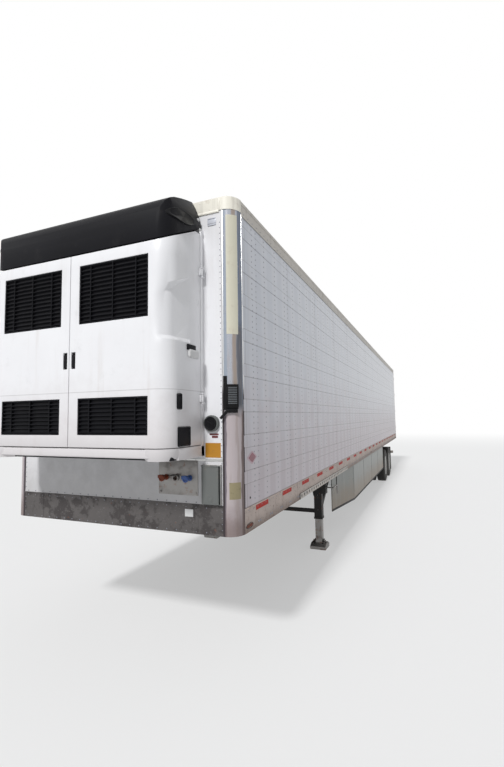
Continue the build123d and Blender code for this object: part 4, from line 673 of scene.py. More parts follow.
def repeated(bm, verts, count, step):
    """Copies of what was added, each a step further; returns all of it."""
    every = list(verts)
    source = whole(verts)
    for number in range(1, count):
        copy = bmesh.ops.duplicate(bm, geom=source)["geom"]
        fresh = only(bmesh.types.BMVert, copy)
        bmesh.ops.translate(bm, vec=Vector(step) * number, verts=fresh)
        every += fresh
    return every


def tilt(bm, verts, degrees, axis, centre):
    bmesh.ops.rotate(bm, cent=centre, matrix=Matrix.Rotation(math.radians(degrees), 3, axis), verts=verts)


def add_corner_patch(bm, low, high, start, end, thickness, steps):
    """A thin curved plate on the round front corner; its angles run from the front towards the side."""
    centre = Vector((CORNER_X, POST_END, 0.0))
    angle = math.radians(start)
    ring = []
    for r, z in ((WRAP_R, low), (WRAP_R + thickness, low), (WRAP_R + thickness, high), (WRAP_R, high)):
        ring.append(bm.verts.new(centre + Vector((r * math.sin(angle), -r * math.cos(angle), z))))
    edges = [bm.edges.new((ring[n], ring[(n + 1) % 4])) for n in range(4)]
    bm.faces.new(ring)
    made = bmesh.ops.spin(
        bm, geom=ring + edges, cent=centre, axis=(0, 0, 1), angle=math.radians(end - start), steps=steps
    )["geom_last"]
    bmesh.ops.holes_fill(bm, edges=only(bmesh.types.BMEdge, made), sides=4)


def piece(name, bm, material, body="trailer_body", replaces=(), smooth=35.0, side=1, both=False):
    """The finished mesh, on one side of the trailer or on both, as a named object that rides on a CAD body."""
    if both:
        copy = bmesh.ops.duplicate(bm, geom=bm.verts[:] + bm.edges[:] + bm.faces[:])["geom"]
        bmesh.ops.scale(bm, vec=(-1, 1, 1), verts=only(bmesh.types.BMVert, copy))
    if side < 0:
        bmesh.ops.scale(bm, vec=(-1, 1, 1), verts=bm.verts)
    bmesh.ops.recalc_face_normals(bm, faces=bm.faces)
    mesh = bpy.data.meshes.new(name)
    bm.to_mesh(mesh)
    bm.free()
    mesh.polygons.foreach_set("use_smooth", [True] * len(mesh.polygons))
    mesh.set_sharp_from_angle(angle=math.radians(smooth))
    made = bpy.data.objects.new(name, mesh)
    bpy.context.scene.collection.objects.link(made)
    made.data.materials.append(finishes()[material])
    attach(made, body)
    if replaces:
        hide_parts(*replaces)
    return made


def moulded(made):
    """Gives a skin the thickness of a moulding, inwards, and softens its edges."""
    wall = made.modifiers.new("wall", "SOLIDIFY")
    wall.thickness, wall.offset = 0.026, -1.0
    edges = made.modifiers.new("edges", "BEVEL")
    edges.width, edges.segments, edges.limit_method = 0.004, 2, "ANGLE"


# Pieces.


def skin_at(z):
    """How far out the side's skin lies at a height: on a bead or between two."""
    away = abs((z - BEAD_FIRST + BEAD_PITCH / 2) % BEAD_PITCH - BEAD_PITCH / 2)
    rise = (BEAD_WIDTH / 2 - away) / BEAD_EDGE
    return SKIN_X + BEAD_DEPTH * min(1.0, max(0.0, rise))


def rivet_column(bm, y, radius):
    """One column of rivet heads up the side."""
    pitch = sizes().rivet_pitch
    count = int((PANEL_HIGH - 0.02 - BEAD_FIRST) // pitch)
    first = -int((BEAD_FIRST - PANEL_LOW - 0.03) // pitch)
    made = []
    for number in range(first, count + 1):
        z = BEAD_FIRST + number * pitch
        x = skin_at(z)
        made += add_stud(bm, (x - 0.001, y, z), (0.0036, 0, 0), radius, 6, radius * 0.55)
    return made


class TRAILER_OT_side_rivets(bpy.types.Operator):
    """Rivet columns at every post and sheet lap of both sides."""

    bl_idname = "trailer.side_rivets"
    bl_label = "Side rivets"

    def execute(self, context):
        size = sizes()
        length = FRAME_Y - FRONT
        for name, side in SIDES:
            bm = bmesh.new()
            posts = int((length - 0.45) // size.post_pitch)
            column = rivet_column(bm, FIRST_POST - size.post_pitch, size.rivet_radius)
            repeated(bm, column, posts, (0, size.post_pitch, 0))
            laps = int((length - 1.5) // size.sheet_length) + 1
            column = rivet_column(bm, FRONT + 1.416, size.rivet_radius)
            repeated(bm, column, laps, (0, size.sheet_length, 0))
            rivet_column(bm, FRONT + 0.459, size.rivet_radius)
            piece(f"side_rivets_{name}", bm, "rivet_head", smooth=60, side=side)
        return {"FINISHED"}


class TRAILER_OT_rails(bpy.types.Operator):
    """Lips, laps and fasteners of the top and bottom rails."""

    bl_idname = "trailer.rails"
    bl_label = "Rail details"

    def execute(self, context):
        bm = bmesh.new()
        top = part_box("top_rails")[0].z
        add_box(bm, (RAIL_X - 0.004, POST_END, top - 0.004), (RAIL_X + 0.003, FRAME_Y, top + 0.012), 0.0015)
        add_box(bm, (RAIL_X - 0.004, POST_END, top + 0.098), (RAIL_X + 0.0025, FRAME_Y, top + 0.106), 0.0015)
        piece("top_rail_lips", bm, "rail_metal", both=True)
        bm = bmesh.new()
        low = PANEL_LOW
        add_box(bm, (RAIL_X - 0.006, POST_END, low - 0.008), (RAIL_X + 0.0022, FRAME_Y, low + 0.004), 0.0015)
        add_box(bm, (RAIL_X - 0.006, POST_END, BOTTOM), (RAIL_X + 0.0022, FRAME_Y, BOTTOM + 0.009), 0.0015)
        piece("bottom_rail_lips", bm, "lower_rail_metal", both=True)
        bm = bmesh.new()
        count = int((FRAME_Y - POST_END - 0.1) / RAIL_RIVET_PITCH)
        head = add_stud(bm, (RAIL_X, POST_END + 0.08, low - 0.022), (0.003, 0, 0), 0.0065, 6, 0.004)
        repeated(bm, head, count, (0, RAIL_RIVET_PITCH, 0))
        bolt_y = FRONT + 0.43
        bolts = int((FRAME_Y - bolt_y) / RAIL_BOLT_PITCH)
        bolt = add_stud(bm, (RAIL_X, bolt_y, 1.215), (0.004, 0, 0), 0.011, 6, 0.010)
        bolt += add_stud(bm, (RAIL_X, bolt_y + 0.045, 1.215), (0.004, 0, 0), 0.011, 6, 0.010)
        repeated(bm, bolt, bolts, (0, RAIL_BOLT_PITCH, 0))
        head = add_stud(bm, (RAIL_X, POST_END + 0.05, top + 0.03), (0.003, 0, 0), 0.0065, 6, 0.004)
        repeated(bm, head, count, (0, RAIL_RIVET_PITCH, 0))
        piece("rail_fasteners", bm, "rivet_head", smooth=60, both=True)
        return {"FINISHED"}


class TRAILER_OT_side_marks(bpy.types.Operator):
    """Reflective patches, blank stickers and lamp rims on the sides."""

    bl_idname = "trailer.side_marks"
    bl_label = "Side marks"

    def execute(self, context):
        size = sizes()
        first = FRONT + 0.37
        count = int((FRAME_Y - first - 0.3) // size.tape_pitch) + 1
        bm = bmesh.new()
        low, high = PANEL_LOW - 0.052, PANEL_LOW - 0.004
        patch = add_box(
            bm, (RAIL_X - 0.001, first, low), (RAIL_X + 0.0012, first + size.tape_length, high), 0.0005, 1
        )
        repeated(bm, patch, count, (0, size.tape_pitch, 0))
        piece("reflective_red", bm, "red_tape", both=True)
        self.diamond("diamond_rim", "pink_sign", 1.0, 0.0012)
        self.diamond("diamond_face", "red_sign", 0.72, 0.0022)
        bm = bmesh.new()
        add_stud(bm, (SKIN_X, FRONT + 0.251, 1.454), (0.003, 0, 0), 0.011, 12, 0.009)
        piece("side_spot", bm, "black_plastic")
        bm = bmesh.new()
        for distance in SIDE_LAMPS:
            centre = (RAIL_X, FRONT + distance, SIDE_LAMP_Z)
            made = add_turned(
                bm, [(-0.004, 0.076), (0.0028, 0.076), (0.0042, 0.073), (0.0042, 0.069), (0.001, 0.066)],
                centre, (1, 0, 0), 40,
            )
            bmesh.ops.scale(bm, vec=(1, 1, 0.3), verts=made, space=Matrix.Translation(-Vector(centre)))
        piece("side_lamp_rims", bm, "rubber", both=True)
        return {"FINISHED"}

    def diamond(self, name, material, size, proud):
        """A blank warning diamond, wider than high."""
        bm = bmesh.new()
        y, z, wide, high = FRONT + 0.307, 1.798, 0.118 * size, 0.063 * size
        corners = [
            (SKIN_X - 0.001, y + wide * math.cos(math.pi * n / 2), z + high * math.sin(math.pi * n / 2))
            for n in range(4)
        ]
        add_prism(bm, corners, (0.001 + proud, 0, 0))
        upright = [edge for edge in bm.edges if abs(edge.verts[0].co.x - edge.verts[1].co.x) > 1e-4]
        rounded(bm, upright, 0.018 * size, 3)
        piece(name, bm, material)


class TRAILER_OT_corners(bpy.types.Operator):
    """The rounded front corners: edge strips, rivets and blank decals."""

    bl_idname = "trailer.corners"
    bl_label = "Front corners"

    def execute(self, context):
        for name, side in SIDES:
            bm = bmesh.new()
            x, y = SKIN_X, POST_END
            add_box(bm, (x - 0.002, y - 0.006, BOTTOM), (x + 0.0035, y + 0.012, CAP_LOW - 0.003), 0.0012)
            piece(f"corner_edge_{name}", bm, "edge_strip", side=side)
            bm = bmesh.new()
            add_box(bm, (CORNER_X - 0.012, FRONT - 0.002, BOTTOM), (CORNER_X + 0.006, FRONT + 0.004, CAP_LOW), 0.001)
            piece(f"wrap_edge_{name}", bm, "edge_strip", side=side)
            bm = bmesh.new()
            z, count = BOTTOM + 0.05, int((CAP_LOW - BOTTOM - 0.1) / 0.05)
            head = add_stud(bm, (CORNER_X - 0.022, FRONT + 0.001, z), (0, -0.0036, 0), 0.0055, 6, 0.0035)
            repeated(bm, head, count, (0, 0, 0.05))
            piece(f"corner_rivets_{name}", bm, "rivet_head", smooth=60, side=side)
        bm = bmesh.new()
        add_corner_patch(bm, 2.87, 3.93, 15, 62, 0.0012, 14)
        piece("corner_decal", bm, "cream_decal")
        bm = bmesh.new()
        add_corner_patch(bm, 1.474, 1.612, 20, 66, 0.0012, 12)
        piece("corner_label", bm, "green_label")
        return {"FINISHED"}


class TRAILER_OT_display(bpy.types.Operator):
    """The status display: bezel, slats, base with its bolts, backing strip and bracket foot."""

    bl_idname = "trailer.display"
    bl_label = "Status display"

    def execute(self, context):
        bm = bmesh.new()
        add_corner_patch(bm, WRAP_SEAM, 2.51, 0, 15, 0.004, 4)
        piece("display_backing", bm, "black_plastic")
        turn = Matrix.Rotation(math.radians(DISPLAY_TURN), 4, "Z")
        turn = Matrix.Translation((CORNER_X - 0.0023, POST_END, 0)) @ turn
        face, half, low, high = -0.166, 0.05, 2.225, 2.435
        bm = bmesh.new()
        for z0, z1, x0, x1 in (
            (high - 0.014, high - 0.001, -half + 0.001, half - 0.001),
            (low + 0.03, low + 0.042, -half + 0.001, half - 0.001),
            (low + 0.03, high - 0.001, -half + 0.001, -half + 0.012),
            (low + 0.03, high - 0.001, half - 0.012, half - 0.001),
        ):
            add_box(bm, (x0, face - 0.004, z0), (x1, face + 0.004, z1), 0.0015)
        add_box(bm, (-half + 0.003, -0.150, low - 0.03), (half - 0.003, -0.126, low + 0.002), 0.004)
        bmesh.ops.transform(bm, matrix=turn, verts=bm.verts)
        piece("display_bezel", bm, "black_plastic")
        bm = bmesh.new()
        slat = add_box(
            bm, (-half + 0.012, face - 0.0025, low + 0.046), (half - 0.012, face + 0.003, low + 0.053), 0.001,
        )
        repeated(bm, slat, 10, (0, 0, 0.0148))
        bmesh.ops.transform(bm, matrix=turn, verts=bm.verts)
        piece("display_slats", bm, "engine_block")
        bm = bmesh.new()
        for x in (-0.03, 0.03):
            add_stud(bm, (x, -0.149, low - 0.012), (0, -0.007, 0), 0.007, 6, 0.0065)
        arm = (
            (-half, low - 0.004), (-half + 0.02, low - 0.02), (-half - 0.045, low - 0.085), (-half - 0.06, low - 0.07),
        )
        add_prism(bm, [(x, -0.142, z) for x, z in arm], (0, 0.012, 0), 0.002, 2)
        bmesh.ops.transform(bm, matrix=turn, verts=bm.verts)
        piece("display_foot", bm, "black_plastic")
        return {"FINISHED"}


class TRAILER_OT_front_panel(bpy.types.Operator):
    """Rivets, seam strips, blank labels and the box's trim on the front wall."""

    bl_idname = "trailer.front_panel"
    bl_label = "Front wall"

    def execute(self, context):
        def on_front(name, material, x0, x1, z0, z1):
            bm = bmesh.new()
            add_box(bm, (x0, FRONT - 0.0016, z0), (x1, FRONT + 0.001, z1), 0.0006, 1)
            piece(name, bm, material)

        on_front("caution_label", "orange_label", 0.988, 1.136, 1.818, 1.942)
        on_front("red_label", "dark_red_label", 1.03, 1.116, 2.008, 2.022)
        on_front("red_label_low", "dark_red_label", 1.052, 1.11, 1.984, 2.004)
        on_front("small_plate", "pale_sign", 0.782, 0.864, 1.31, 1.373)
        bm = bmesh.new()
        add_box(bm, (-CORNER_X, FRONT - 0.003, 1.786), (CORNER_X - 0.012, FRONT + 0.001, 1.806), 0.001, 1)
        piece("front_seams", bm, "frame_steel")
        bm = bmesh.new()
        add_box(bm, (-CORNER_X, FRONT - 0.003, 1.410), (CORNER_X - 0.012, FRONT + 0.001, 1.422), 0.001, 1)
        for side in (-1, 1):
            add_box(
                bm, (side * 0.90 - 0.012, FRONT - 0.0025, BOTTOM), (side * 0.90 + 0.012, FRONT + 0.001, 1.412),
                0.001, 1,
            )
        piece("sill_seams", bm, "front_steel")
        bm = bmesh.new()
        count = int(2 * (CORNER_X - 0.06) / 0.1)
        for z in (1.796, 1.435, 1.395, 1.19):
            head = add_stud(bm, (-CORNER_X + 0.06, FRONT, z), (0, -0.004, 0), 0.006, 6, 0.004)
            repeated(bm, head, count, (0.1, 0, 0))
        piece("front_rivets", bm, "rivet_head", smooth=60)
        bm = bmesh.new()
        lo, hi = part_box("document_box")
        add_box(bm, (hi.x - 0.001, lo.y + 0.016, lo.z), (hi.x + 0.003, FRONT, hi.z + 0.003), 0.001)
        add_box(bm, (lo.x - 0.002, lo.y + 0.016, hi.z), (hi.x + 0.003, FRONT, hi.z + 0.003), 0.001)
        piece("box_trim", bm, "frame_steel")
        bm = bmesh.new()
        z = 3.888
        for z0, z1 in ((z - 0.034, z - 0.026), (z + 0.026, z + 0.034)):
            add_box(bm, (1.027, FRONT - 0.008, z0), (1.106, FRONT, z1), 0.002)
        add_box(bm, (1.024, FRONT - 0.003, z - 0.03), (1.109, FRONT, z + 0.03), 0.001)
        piece("lamp_brackets", bm, "white_panel", both=True)
        bm = bmesh.new()
        centre = (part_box("document_can")[0].x + 0.066, FRONT, 2.108)
        add_turned(
            bm, [(0.0, 0.070), (0.030, 0.070), (0.036, 0.0665), (0.036, 0.050)],
            centre, (0, -1, 0), 40,
        )
        piece("can_ring", bm, "grey_box", replaces=["document_can"])
        bm = bmesh.new()
        add_turned(
            bm, [(0.030, 0.0580), (0.044, 0.0575), (0.047, 0.054), (0.047, 0.048), (0.044, 0.044), (0.044, 0.0)],
            centre, (0, -1, 0), 40,
        )
        grip = add_box(
            bm, (centre[0] - 0.034, FRONT - 0.051, centre[2] - 0.005),
            (centre[0] + 0.034, FRONT - 0.040, centre[2] + 0.005), 0.002,
        )
        tilt(bm, grip, 35, "Y", centre)
        piece("can_lid", bm, "black_plastic", replaces=["document_can"])
        return {"FINISHED"}


class TRAILER_OT_cap(bpy.types.Operator):
    """The front cap's lips, casting seams and rivets."""

    bl_idname = "trailer.cap"
    bl_label = "Front cap"

    def execute(self, context):
        bm = bmesh.new()
        seam = 1.14
        add_box(bm, (-seam, FRONT - 0.011, CAP_LOW - 0.017), (seam, FRONT + 0.001, CAP_LOW + 0.004), 0.003)
        for x in (0.0, 0.62, seam):
            for side in (1, -1) if x else (1,):
                add_box(
                    bm, (side * x - 0.009, FRONT - 0.0115, CAP_LOW), (side * x + 0.009, FRONT, CAP_HIGH - 0.008),
                    0.002,
                )
        piece("cap_lips", bm, "cream_paint")
        bm = bmesh.new()
        head = add_stud(bm, (-1.05, FRONT - 0.007, CAP_LOW + 0.02), (0, -0.004, 0), 0.006, 6, 0.004)
        head += add_stud(bm, (-1.05, FRONT - 0.007, CAP_HIGH - 0.025), (0, -0.004, 0), 0.006, 6, 0.004)
        repeated(bm, head, 22, (0.1, 0, 0))
        piece("cap_rivets", bm, "cream_paint", smooth=60)
        return {"FINISHED"}


# The cooling unit.

# The sloping split between the doors and the hood, and half the gap in it.
SPLIT_FRONT, SPLIT_BACK, SPLIT_LEVEL = UNIT_HIGH - 0.555, UNIT_HIGH - 0.336, 0.13
SPLIT_GAP = 0.0055
# Low and high edge of each door's grilles, and their slats.
GRILLES = ((2.95, 3.45, 14), (2.03, 2.33, 9))
HINGES_Z = (UNIT_LOW + 0.49, SPLIT_BACK - 0.354)
# Outlines of the hood, as steps in from the widest part and up from the top.
UNIT_PROFILE = (
    (0.06, UNIT_LOW - UNIT_HIGH), (0.0, UNIT_LOW - UNIT_HIGH + 0.09), (0.0, -0.43), (0.004, -0.37), (0.018, -0.288),
    (0.04, -0.237), (0.075, -0.204), (0.15, -0.163), (0.30, -0.100), (0.56, 0.0),
)
SHOULDER = (
    (0.0, -0.36), (-0.004, -0.31), (-0.012, -0.26), (-0.030, -0.177), (-0.048, -0.125), (-0.075, -0.062), (-0.11, 0.0),
)


def cut(bm, point, normal, clear=False, fill=False):
    """Cuts the mesh with a plane; with clear, drops what lies beyond it along the normal; with fill, closes it."""
    made = bmesh.ops.bisect_plane(
        bm, geom=bm.verts[:] + bm.edges[:] + bm.faces[:], dist=1e-6, plane_co=point, plane_no=normal,
        clear_outer=clear, clear_inner=False,
    )["geom_cut"]
    if fill:
        bmesh.ops.contextual_create(bm, geom=only(bmesh.types.BMEdge, made))


def unit_form(bm):
    """The unit's outer skin: round corners in plan, a toe below, a hood that leans back and round shoulders."""
    add_box(bm, (-UNIT_HALF, UNIT_FRONT, UNIT_LOW), (UNIT_HALF, FRONT, UNIT_HIGH))
    corners = [
        edge for edge in bm.edges
        if all(vert.co.y < UNIT_FRONT + 0.01 for vert in edge.verts)
        and abs(edge.verts[0].co.z - edge.verts[1].co.z) > 0.01
    ]
    rounded(bm, corners, UNIT_ROUND, 10)
    for (y0, z0), (y1, z1) in zip(UNIT_PROFILE, UNIT_PROFILE[1:]):
        if y0 != y1:
            cut(bm, (0, UNIT_FRONT + y0, UNIT_HIGH + z0), (0, z0 - z1, y1 - y0), True, True)
    for (x0, z0), (x1, z1) in zip(SHOULDER, SHOULDER[1:]):
        for side in (1, -1):
            cut(bm, (side * (UNIT_HALF + x0), 0, UNIT_HIGH + z0), (side * (z1 - z0), 0, x0 - x1), True, True)
    bmesh.ops.remove_doubles(bm, verts=bm.verts, dist=1e-5)


def split_plane(gap):
    """A point and the upward normal of the sloping split between the doors and the hood."""
    slope = Vector((0, FRONT - SPLIT_LEVEL - UNIT_FRONT, SPLIT_BACK - SPLIT_FRONT)).normalized()
    normal = Vector((0, -slope.z, slope.y))
    return Vector((0, UNIT_FRONT, SPLIT_FRONT)) + normal * gap, normal


def delete_inside(bm, low, high):
    """Drops the faces whose middles lie in a box."""
    doomed = [
        face for face in bm.faces
        if all(low[n] < face.calc_center_median()[n] < high[n] for n in range(3))
    ]
    bmesh.ops.delete(bm, geom=doomed, context="FACES")


# The crease on the side of the unit: where it starts and where its lines meet.
CREASE_LOW = 2.77
CREASE_TIP = Vector((0, FRONT - 0.232, 3.326))


class TRAILER_OT_unit_doors(bpy.types.Operator):
    """The cooling unit's two moulded service doors with their grilles, creases, latches and hinges."""

    bl_idname = "trailer.unit_doors"
    bl_label = "Cooling unit doors"

    def execute(self, context):
        for name, side in SIDES:
            self.skin(name, side)
            self.grilles(name, side)
            self.fittings(name, side)
        self.badge_places()
        return {"FINISHED"}

    def skin(self, name, side):
        bm = bmesh.new()
        unit_form(bm)
        cut(bm, (0, 0, UNIT_LOW + 0.1), (0, 0, -1), True)
        point, normal = split_plane(-SPLIT_GAP)
        cut(bm, point, normal, True)
        cut(bm, (0, 0, SPLIT_BACK - SPLIT_GAP), (0, 0, 1), True)
        cut(bm, (0, FRONT - 0.061, 0), (0, 1, 0), True)
        cut(bm, (0.003, 0, 0), (-1, 0, 0), True)
        for x in (0.022, 0.068, 0.10, 0.80):
            cut(bm, (x, 0, 0), (1, 0, 0))
        for z in (2.03, 2.33, 2.43, 2.58, 2.72, 2.95, 3.45, CREASE_LOW, CREASE_LOW + 0.03):
            cut(bm, (0, 0, z), (0, 0, 1))
        edge, foot = (Vector((0, -rise, 0.213)).normalized() for rise in (0.091, 0.140))
        for normal in (edge, foot, Vector((0, 1, 0))):
            cut(bm, CREASE_TIP, normal)
        for vert in bm.verts:
            if vert.co.x > 0.81 and vert.co.z > CREASE_LOW + 0.015 and (vert.co - CREASE_TIP).dot(foot) < 1e-4:
                along_side = max(0.0, (CREASE_TIP.y - vert.co.y) / 0.18)
                turn = min(1.0, (vert.co.x - 0.81) / 0.12)
                vert.co.x -= 0.034 * min(1.0, along_side) * turn
        for x0, x1, z0, z1 in ((0.10, 0.80, 2.95, 3.45), (0.10, 0.80, 2.03, 2.33), (0.022, 0.068, 2.58, 2.72)):
            delete_inside(bm, (x0, UNIT_FRONT - 1, z0), (x1, UNIT_FRONT + 0.1, z1))
        if side < 0:
            bmesh.ops.scale(bm, vec=(-1, 1, 1), verts=bm.verts)
            bmesh.ops.reverse_faces(bm, faces=bm.faces)
        made = piece(
            f"unit_skin_{name}", bm, "unit_skin", f"unit_door_{name}", replaces=[f"unit_door_{name}"], smooth=28,
        )
        moulded(made)

    def grilles(self, name, side):
        bm = bmesh.new()
        for z0, z1, count in GRILLES:
            add_box(bm, (0.105, UNIT_FRONT + 0.024, z0 + 0.004), (0.795, UNIT_FRONT + 0.03, z1 - 0.004))
            pitch = (z1 - z0) / count
            slat = add_box(
                bm, (0.104, UNIT_FRONT + 0.004, z0 + 0.006), (0.796, UNIT_FRONT + 0.026, z0 + 0.012), 0.001, 1,
            )
            tilt(bm, slat, -28, "X", (0.45, UNIT_FRONT + 0.015, z0 + 0.009))
            bmesh.ops.translate(bm, vec=(0, 0, pitch / 2 - 0.006), verts=slat)
            repeated(bm, slat, count, (0, 0, pitch))
            for x in (0.22, 0.45, 0.68):
                add_box(
                    bm, (x - 0.004, UNIT_FRONT + 0.003, z0 + 0.004),
                    (x + 0.004, UNIT_FRONT + 0.026, z1 - 0.004), 0.001, 1,
                )
            for x in (0.103, 0.787):
                add_box(bm, (x, UNIT_FRONT + 0.002, z0 + 0.002), (x + 0.01, UNIT_FRONT + 0.028, z1 - 0.002), 0.002, 1)
            for z in (z0 + 0.002, z1 - 0.012):
                add_box(bm, (0.103, UNIT_FRONT + 0.002, z), (0.797, UNIT_FRONT + 0.028, z + 0.01), 0.002, 1)
        add_box(bm, (0.021, UNIT_FRONT + 0.016, 2.579), (0.069, UNIT_FRONT + 0.024, 2.721), 0.001, 1)
        add_box(bm, (0.027, UNIT_FRONT + 0.003, 2.59), (0.063, UNIT_FRONT + 0.018, 2.70), 0.004)
        piece(f"unit_grille_{name}", bm, "unit_black", f"unit_door_{name}", side=side)

    def fittings(self, name, side):
        body = f"unit_door_{name}"
        x = UNIT_HALF
        bm = bmesh.new()
        add_box(bm, (x - 0.004, FRONT - 0.42, 1.935), (x + 0.003, FRONT - 0.24, 2.09), 0.012, 3)
        add_box(bm, (x - 0.004, FRONT - 0.431, 2.224), (x + 0.003, FRONT - 0.368, 2.350), 0.014, 3)
        add_box(bm, (x - 0.012, FRONT - 0.286, 2.712), (x + 0.016, FRONT - 0.160, 2.760), 0.009, 3)
        piece(f"unit_window_{name}", bm, "unit_black", body, side=side)
        bm = bmesh.new()
        add_box(bm, (x - 0.006, FRONT - 0.272, 2.650), (x + 0.022, FRONT - 0.108, 2.722), 0.016, 4)
        piece(f"unit_latch_{name}", bm, "pale_sign", body, side=side)
        bm = bmesh.new()
        hinge_x, hinge_y = x + 0.014, FRONT - 0.058
        for z in HINGES_Z:
            add_stud(bm, (hinge_x, hinge_y, z - 0.03), (0, 0, 0.06), 0.011, 24, bevel=0.0015)
            add_box(bm, (x - 0.004, hinge_y - 0.03, z - 0.029), (hinge_x + 0.003, hinge_y, z + 0.029), 0.002)
        piece(f"unit_hinges_{name}", bm, "unit_skin", body, side=side)

    def badge_places(self):
        """Bare raised ovals on the hood's sides."""
        bm = bmesh.new()
        for side in (1, -1):
            centre = Vector((side * (UNIT_HALF - 0.006), FRONT - 0.335, 3.805))
            made = add_turned(
                bm, [(-0.006, 0.188), (0.009, 0.188), (0.012, 0.180), (0.009, 0.166), (0.009, 0.0)], centre,
                (side, 0, 0), 48
            )
            bmesh.ops.scale(bm, vec=(1, 1, 0.29), verts=made, space=Matrix.Translation(-centre))
            tilt(bm, made, 9, "X", centre)
            tilt(bm, made, -side * 7, "Y", centre)
            for vert in made:
                past = UNIT_FRONT + UNIT_ROUND - vert.co.y
                if past > 0:
                    vert.co.x -= side * (UNIT_ROUND - math.sqrt(UNIT_ROUND ** 2 - past ** 2))
        piece("badge_places", bm, "black_plastic")
        bm = bmesh.new()
        spots = [
            (UNIT_HALF - inset, FRONT - 0.05, UNIT_HIGH - down) for inset, down in ((0.023, 0.205), (0.0055, 0.30))
        ]
        add_heads(bm, spots, (1, 0, 0), 0.013)
        piece("hood_bolts", bm, "pale_sign", smooth=60, both=True)


class TRAILER_OT_unit_case(bpy.types.Operator):
    """The cooling unit's fixed case: hood, back frame, tray, hinge lugs and braces."""

    bl_idname = "trailer.unit_case"
    bl_label = "Cooling unit case"

    def execute(self, context):
        bm = bmesh.new()
        unit_form(bm)
        point, normal = split_plane(SPLIT_GAP)
        cut(bm, point, -normal)
        cut(bm, (0, FRONT - 0.016, 0), (0, 1, 0), True)
        doomed = []
        for face in bm.faces:
            middle = face.calc_center_median()
            if (middle - point).dot(normal) <= -1e-5 or middle.y >= FRONT - 0.017:
                doomed.append(face)
        bmesh.ops.delete(bm, geom=doomed, context="FACES")
        made = piece("unit_hood", bm, "unit_black", replaces=["unit_housing"], smooth=28)
        moulded(made)
        inner = UNIT_HALF - 0.06
        back, face = FRONT, FRONT - 0.055
        bm = bmesh.new()
        add_box(bm, (-inner, back - 0.012, UNIT_LOW), (inner, back, SPLIT_BACK + 0.05), 0.002)
        add_box(bm, (-inner, face, SPLIT_FRONT + 0.02), (inner, back, SPLIT_BACK + 0.05), 0.003)
        add_box(
            bm, (-UNIT_HALF + 0.02, UNIT_FRONT + 0.085, UNIT_LOW + 0.002),
            (UNIT_HALF - 0.02, back, UNIT_LOW + 0.03), 0.004,
        )
        for x in (-0.66, -0.22, 0.22, 0.66):
            add_prism(
                bm, [(x, back, UNIT_LOW + 0.004), (x, back - 0.14, UNIT_LOW + 0.004), (x, back, UNIT_LOW - 0.035)],
                (0.008, 0, 0), 0.001, 1,
            )
        piece("unit_inside", bm, "unit_black", replaces=["unit_housing"])
        bm = bmesh.new()
        tray_top = UNIT_LOW + 0.094
        for x0, x1 in ((-UNIT_HALF, -inner), (inner, UNIT_HALF)):
            add_box(bm, (x0, face, UNIT_LOW), (x1, back, SPLIT_BACK + 0.05), 0.004)
            add_box(bm, (x0, UNIT_FRONT + UNIT_ROUND, UNIT_LOW), (x1, back, tray_top), 0.006)
        add_box(
            bm, (-UNIT_HALF + 0.12, UNIT_FRONT + 0.012, UNIT_LOW + 0.02),
            (UNIT_HALF - 0.12, UNIT_FRONT + 0.08, tray_top), 0.012, 3,
        )
        for side in (1, -1):
            add_turned(
                bm, [(0.0, 0.09), (0.094, 0.09), (0.094, 0.1495), (0.05, 0.1495), (0.0, 0.125)],
                (side * (UNIT_HALF - UNIT_ROUND), UNIT_FRONT + UNIT_ROUND, UNIT_LOW), (0, 0, 1), 32, closed=True,
            )
            for z in HINGES_Z:
                for low in (z - 0.044, z + 0.036):
                    ends = sorted((side * (UNIT_HALF - 0.001), side * (UNIT_HALF + 0.025)))
                    add_box(bm, (ends[0], face - 0.014, low), (ends[1], face + 0.0275, low + 0.008), 0.001)
                x = side * (UNIT_HALF + 0.014)
                add_stud(bm, (x, FRONT - 0.058, z - 0.046), (0, 0, 0.092), 0.005, 16)
        piece("unit_frame", bm, "unit_skin", replaces=["unit_housing"])
        return {"FINISHED"}


# Wheels.

AXLE_Y = {row: (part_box(f"tyres_{row}_left")[0].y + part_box(f"tyres_{row}_left")[1].y) / 2 for row in ("front", "rear")}
AXLE_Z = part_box("tyres_front_left")[1].z / 2
DUAL_X = (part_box("tyres_front_left")[0].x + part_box("tyres_front_left")[1].x) / 2


def tyre_outline():
    """One side of a ribbed trailer tyre, from the middle of the tread to the bead."""
    depth = sizes().tread_depth
    top = AXLE_Z
    return [
        (0.0, top), (0.020, top), (0.0215, top - depth), (0.0285, top - depth), (0.030, top), (0.064, top - 0.0008),
        (0.0655, top - depth - 0.0008), (0.0725, top - depth - 0.0008), (0.074, top - 0.001), (0.106, top - 0.003),
        (0.1145, top - 0.0055), (0.1185, top - 0.012), (0.1195, top - 0.024), (0.1215, top - 0.026),
        (0.126, top - 0.045), (0.1320, top - 0.066), (0.1345, top - 0.068), (0.1372, top - 0.098),
        (0.1375, top - 0.115), (0.1362, top - 0.140), (0.1335, top - 0.160), (0.1340, top - 0.163),
        (0.1300, top - 0.176), (0.1225, top - 0.193), (0.1165, top - 0.203), (0.1160, top - 0.208),
        (0.1090, top - 0.214), (0.1050, top - 0.218),
    ]


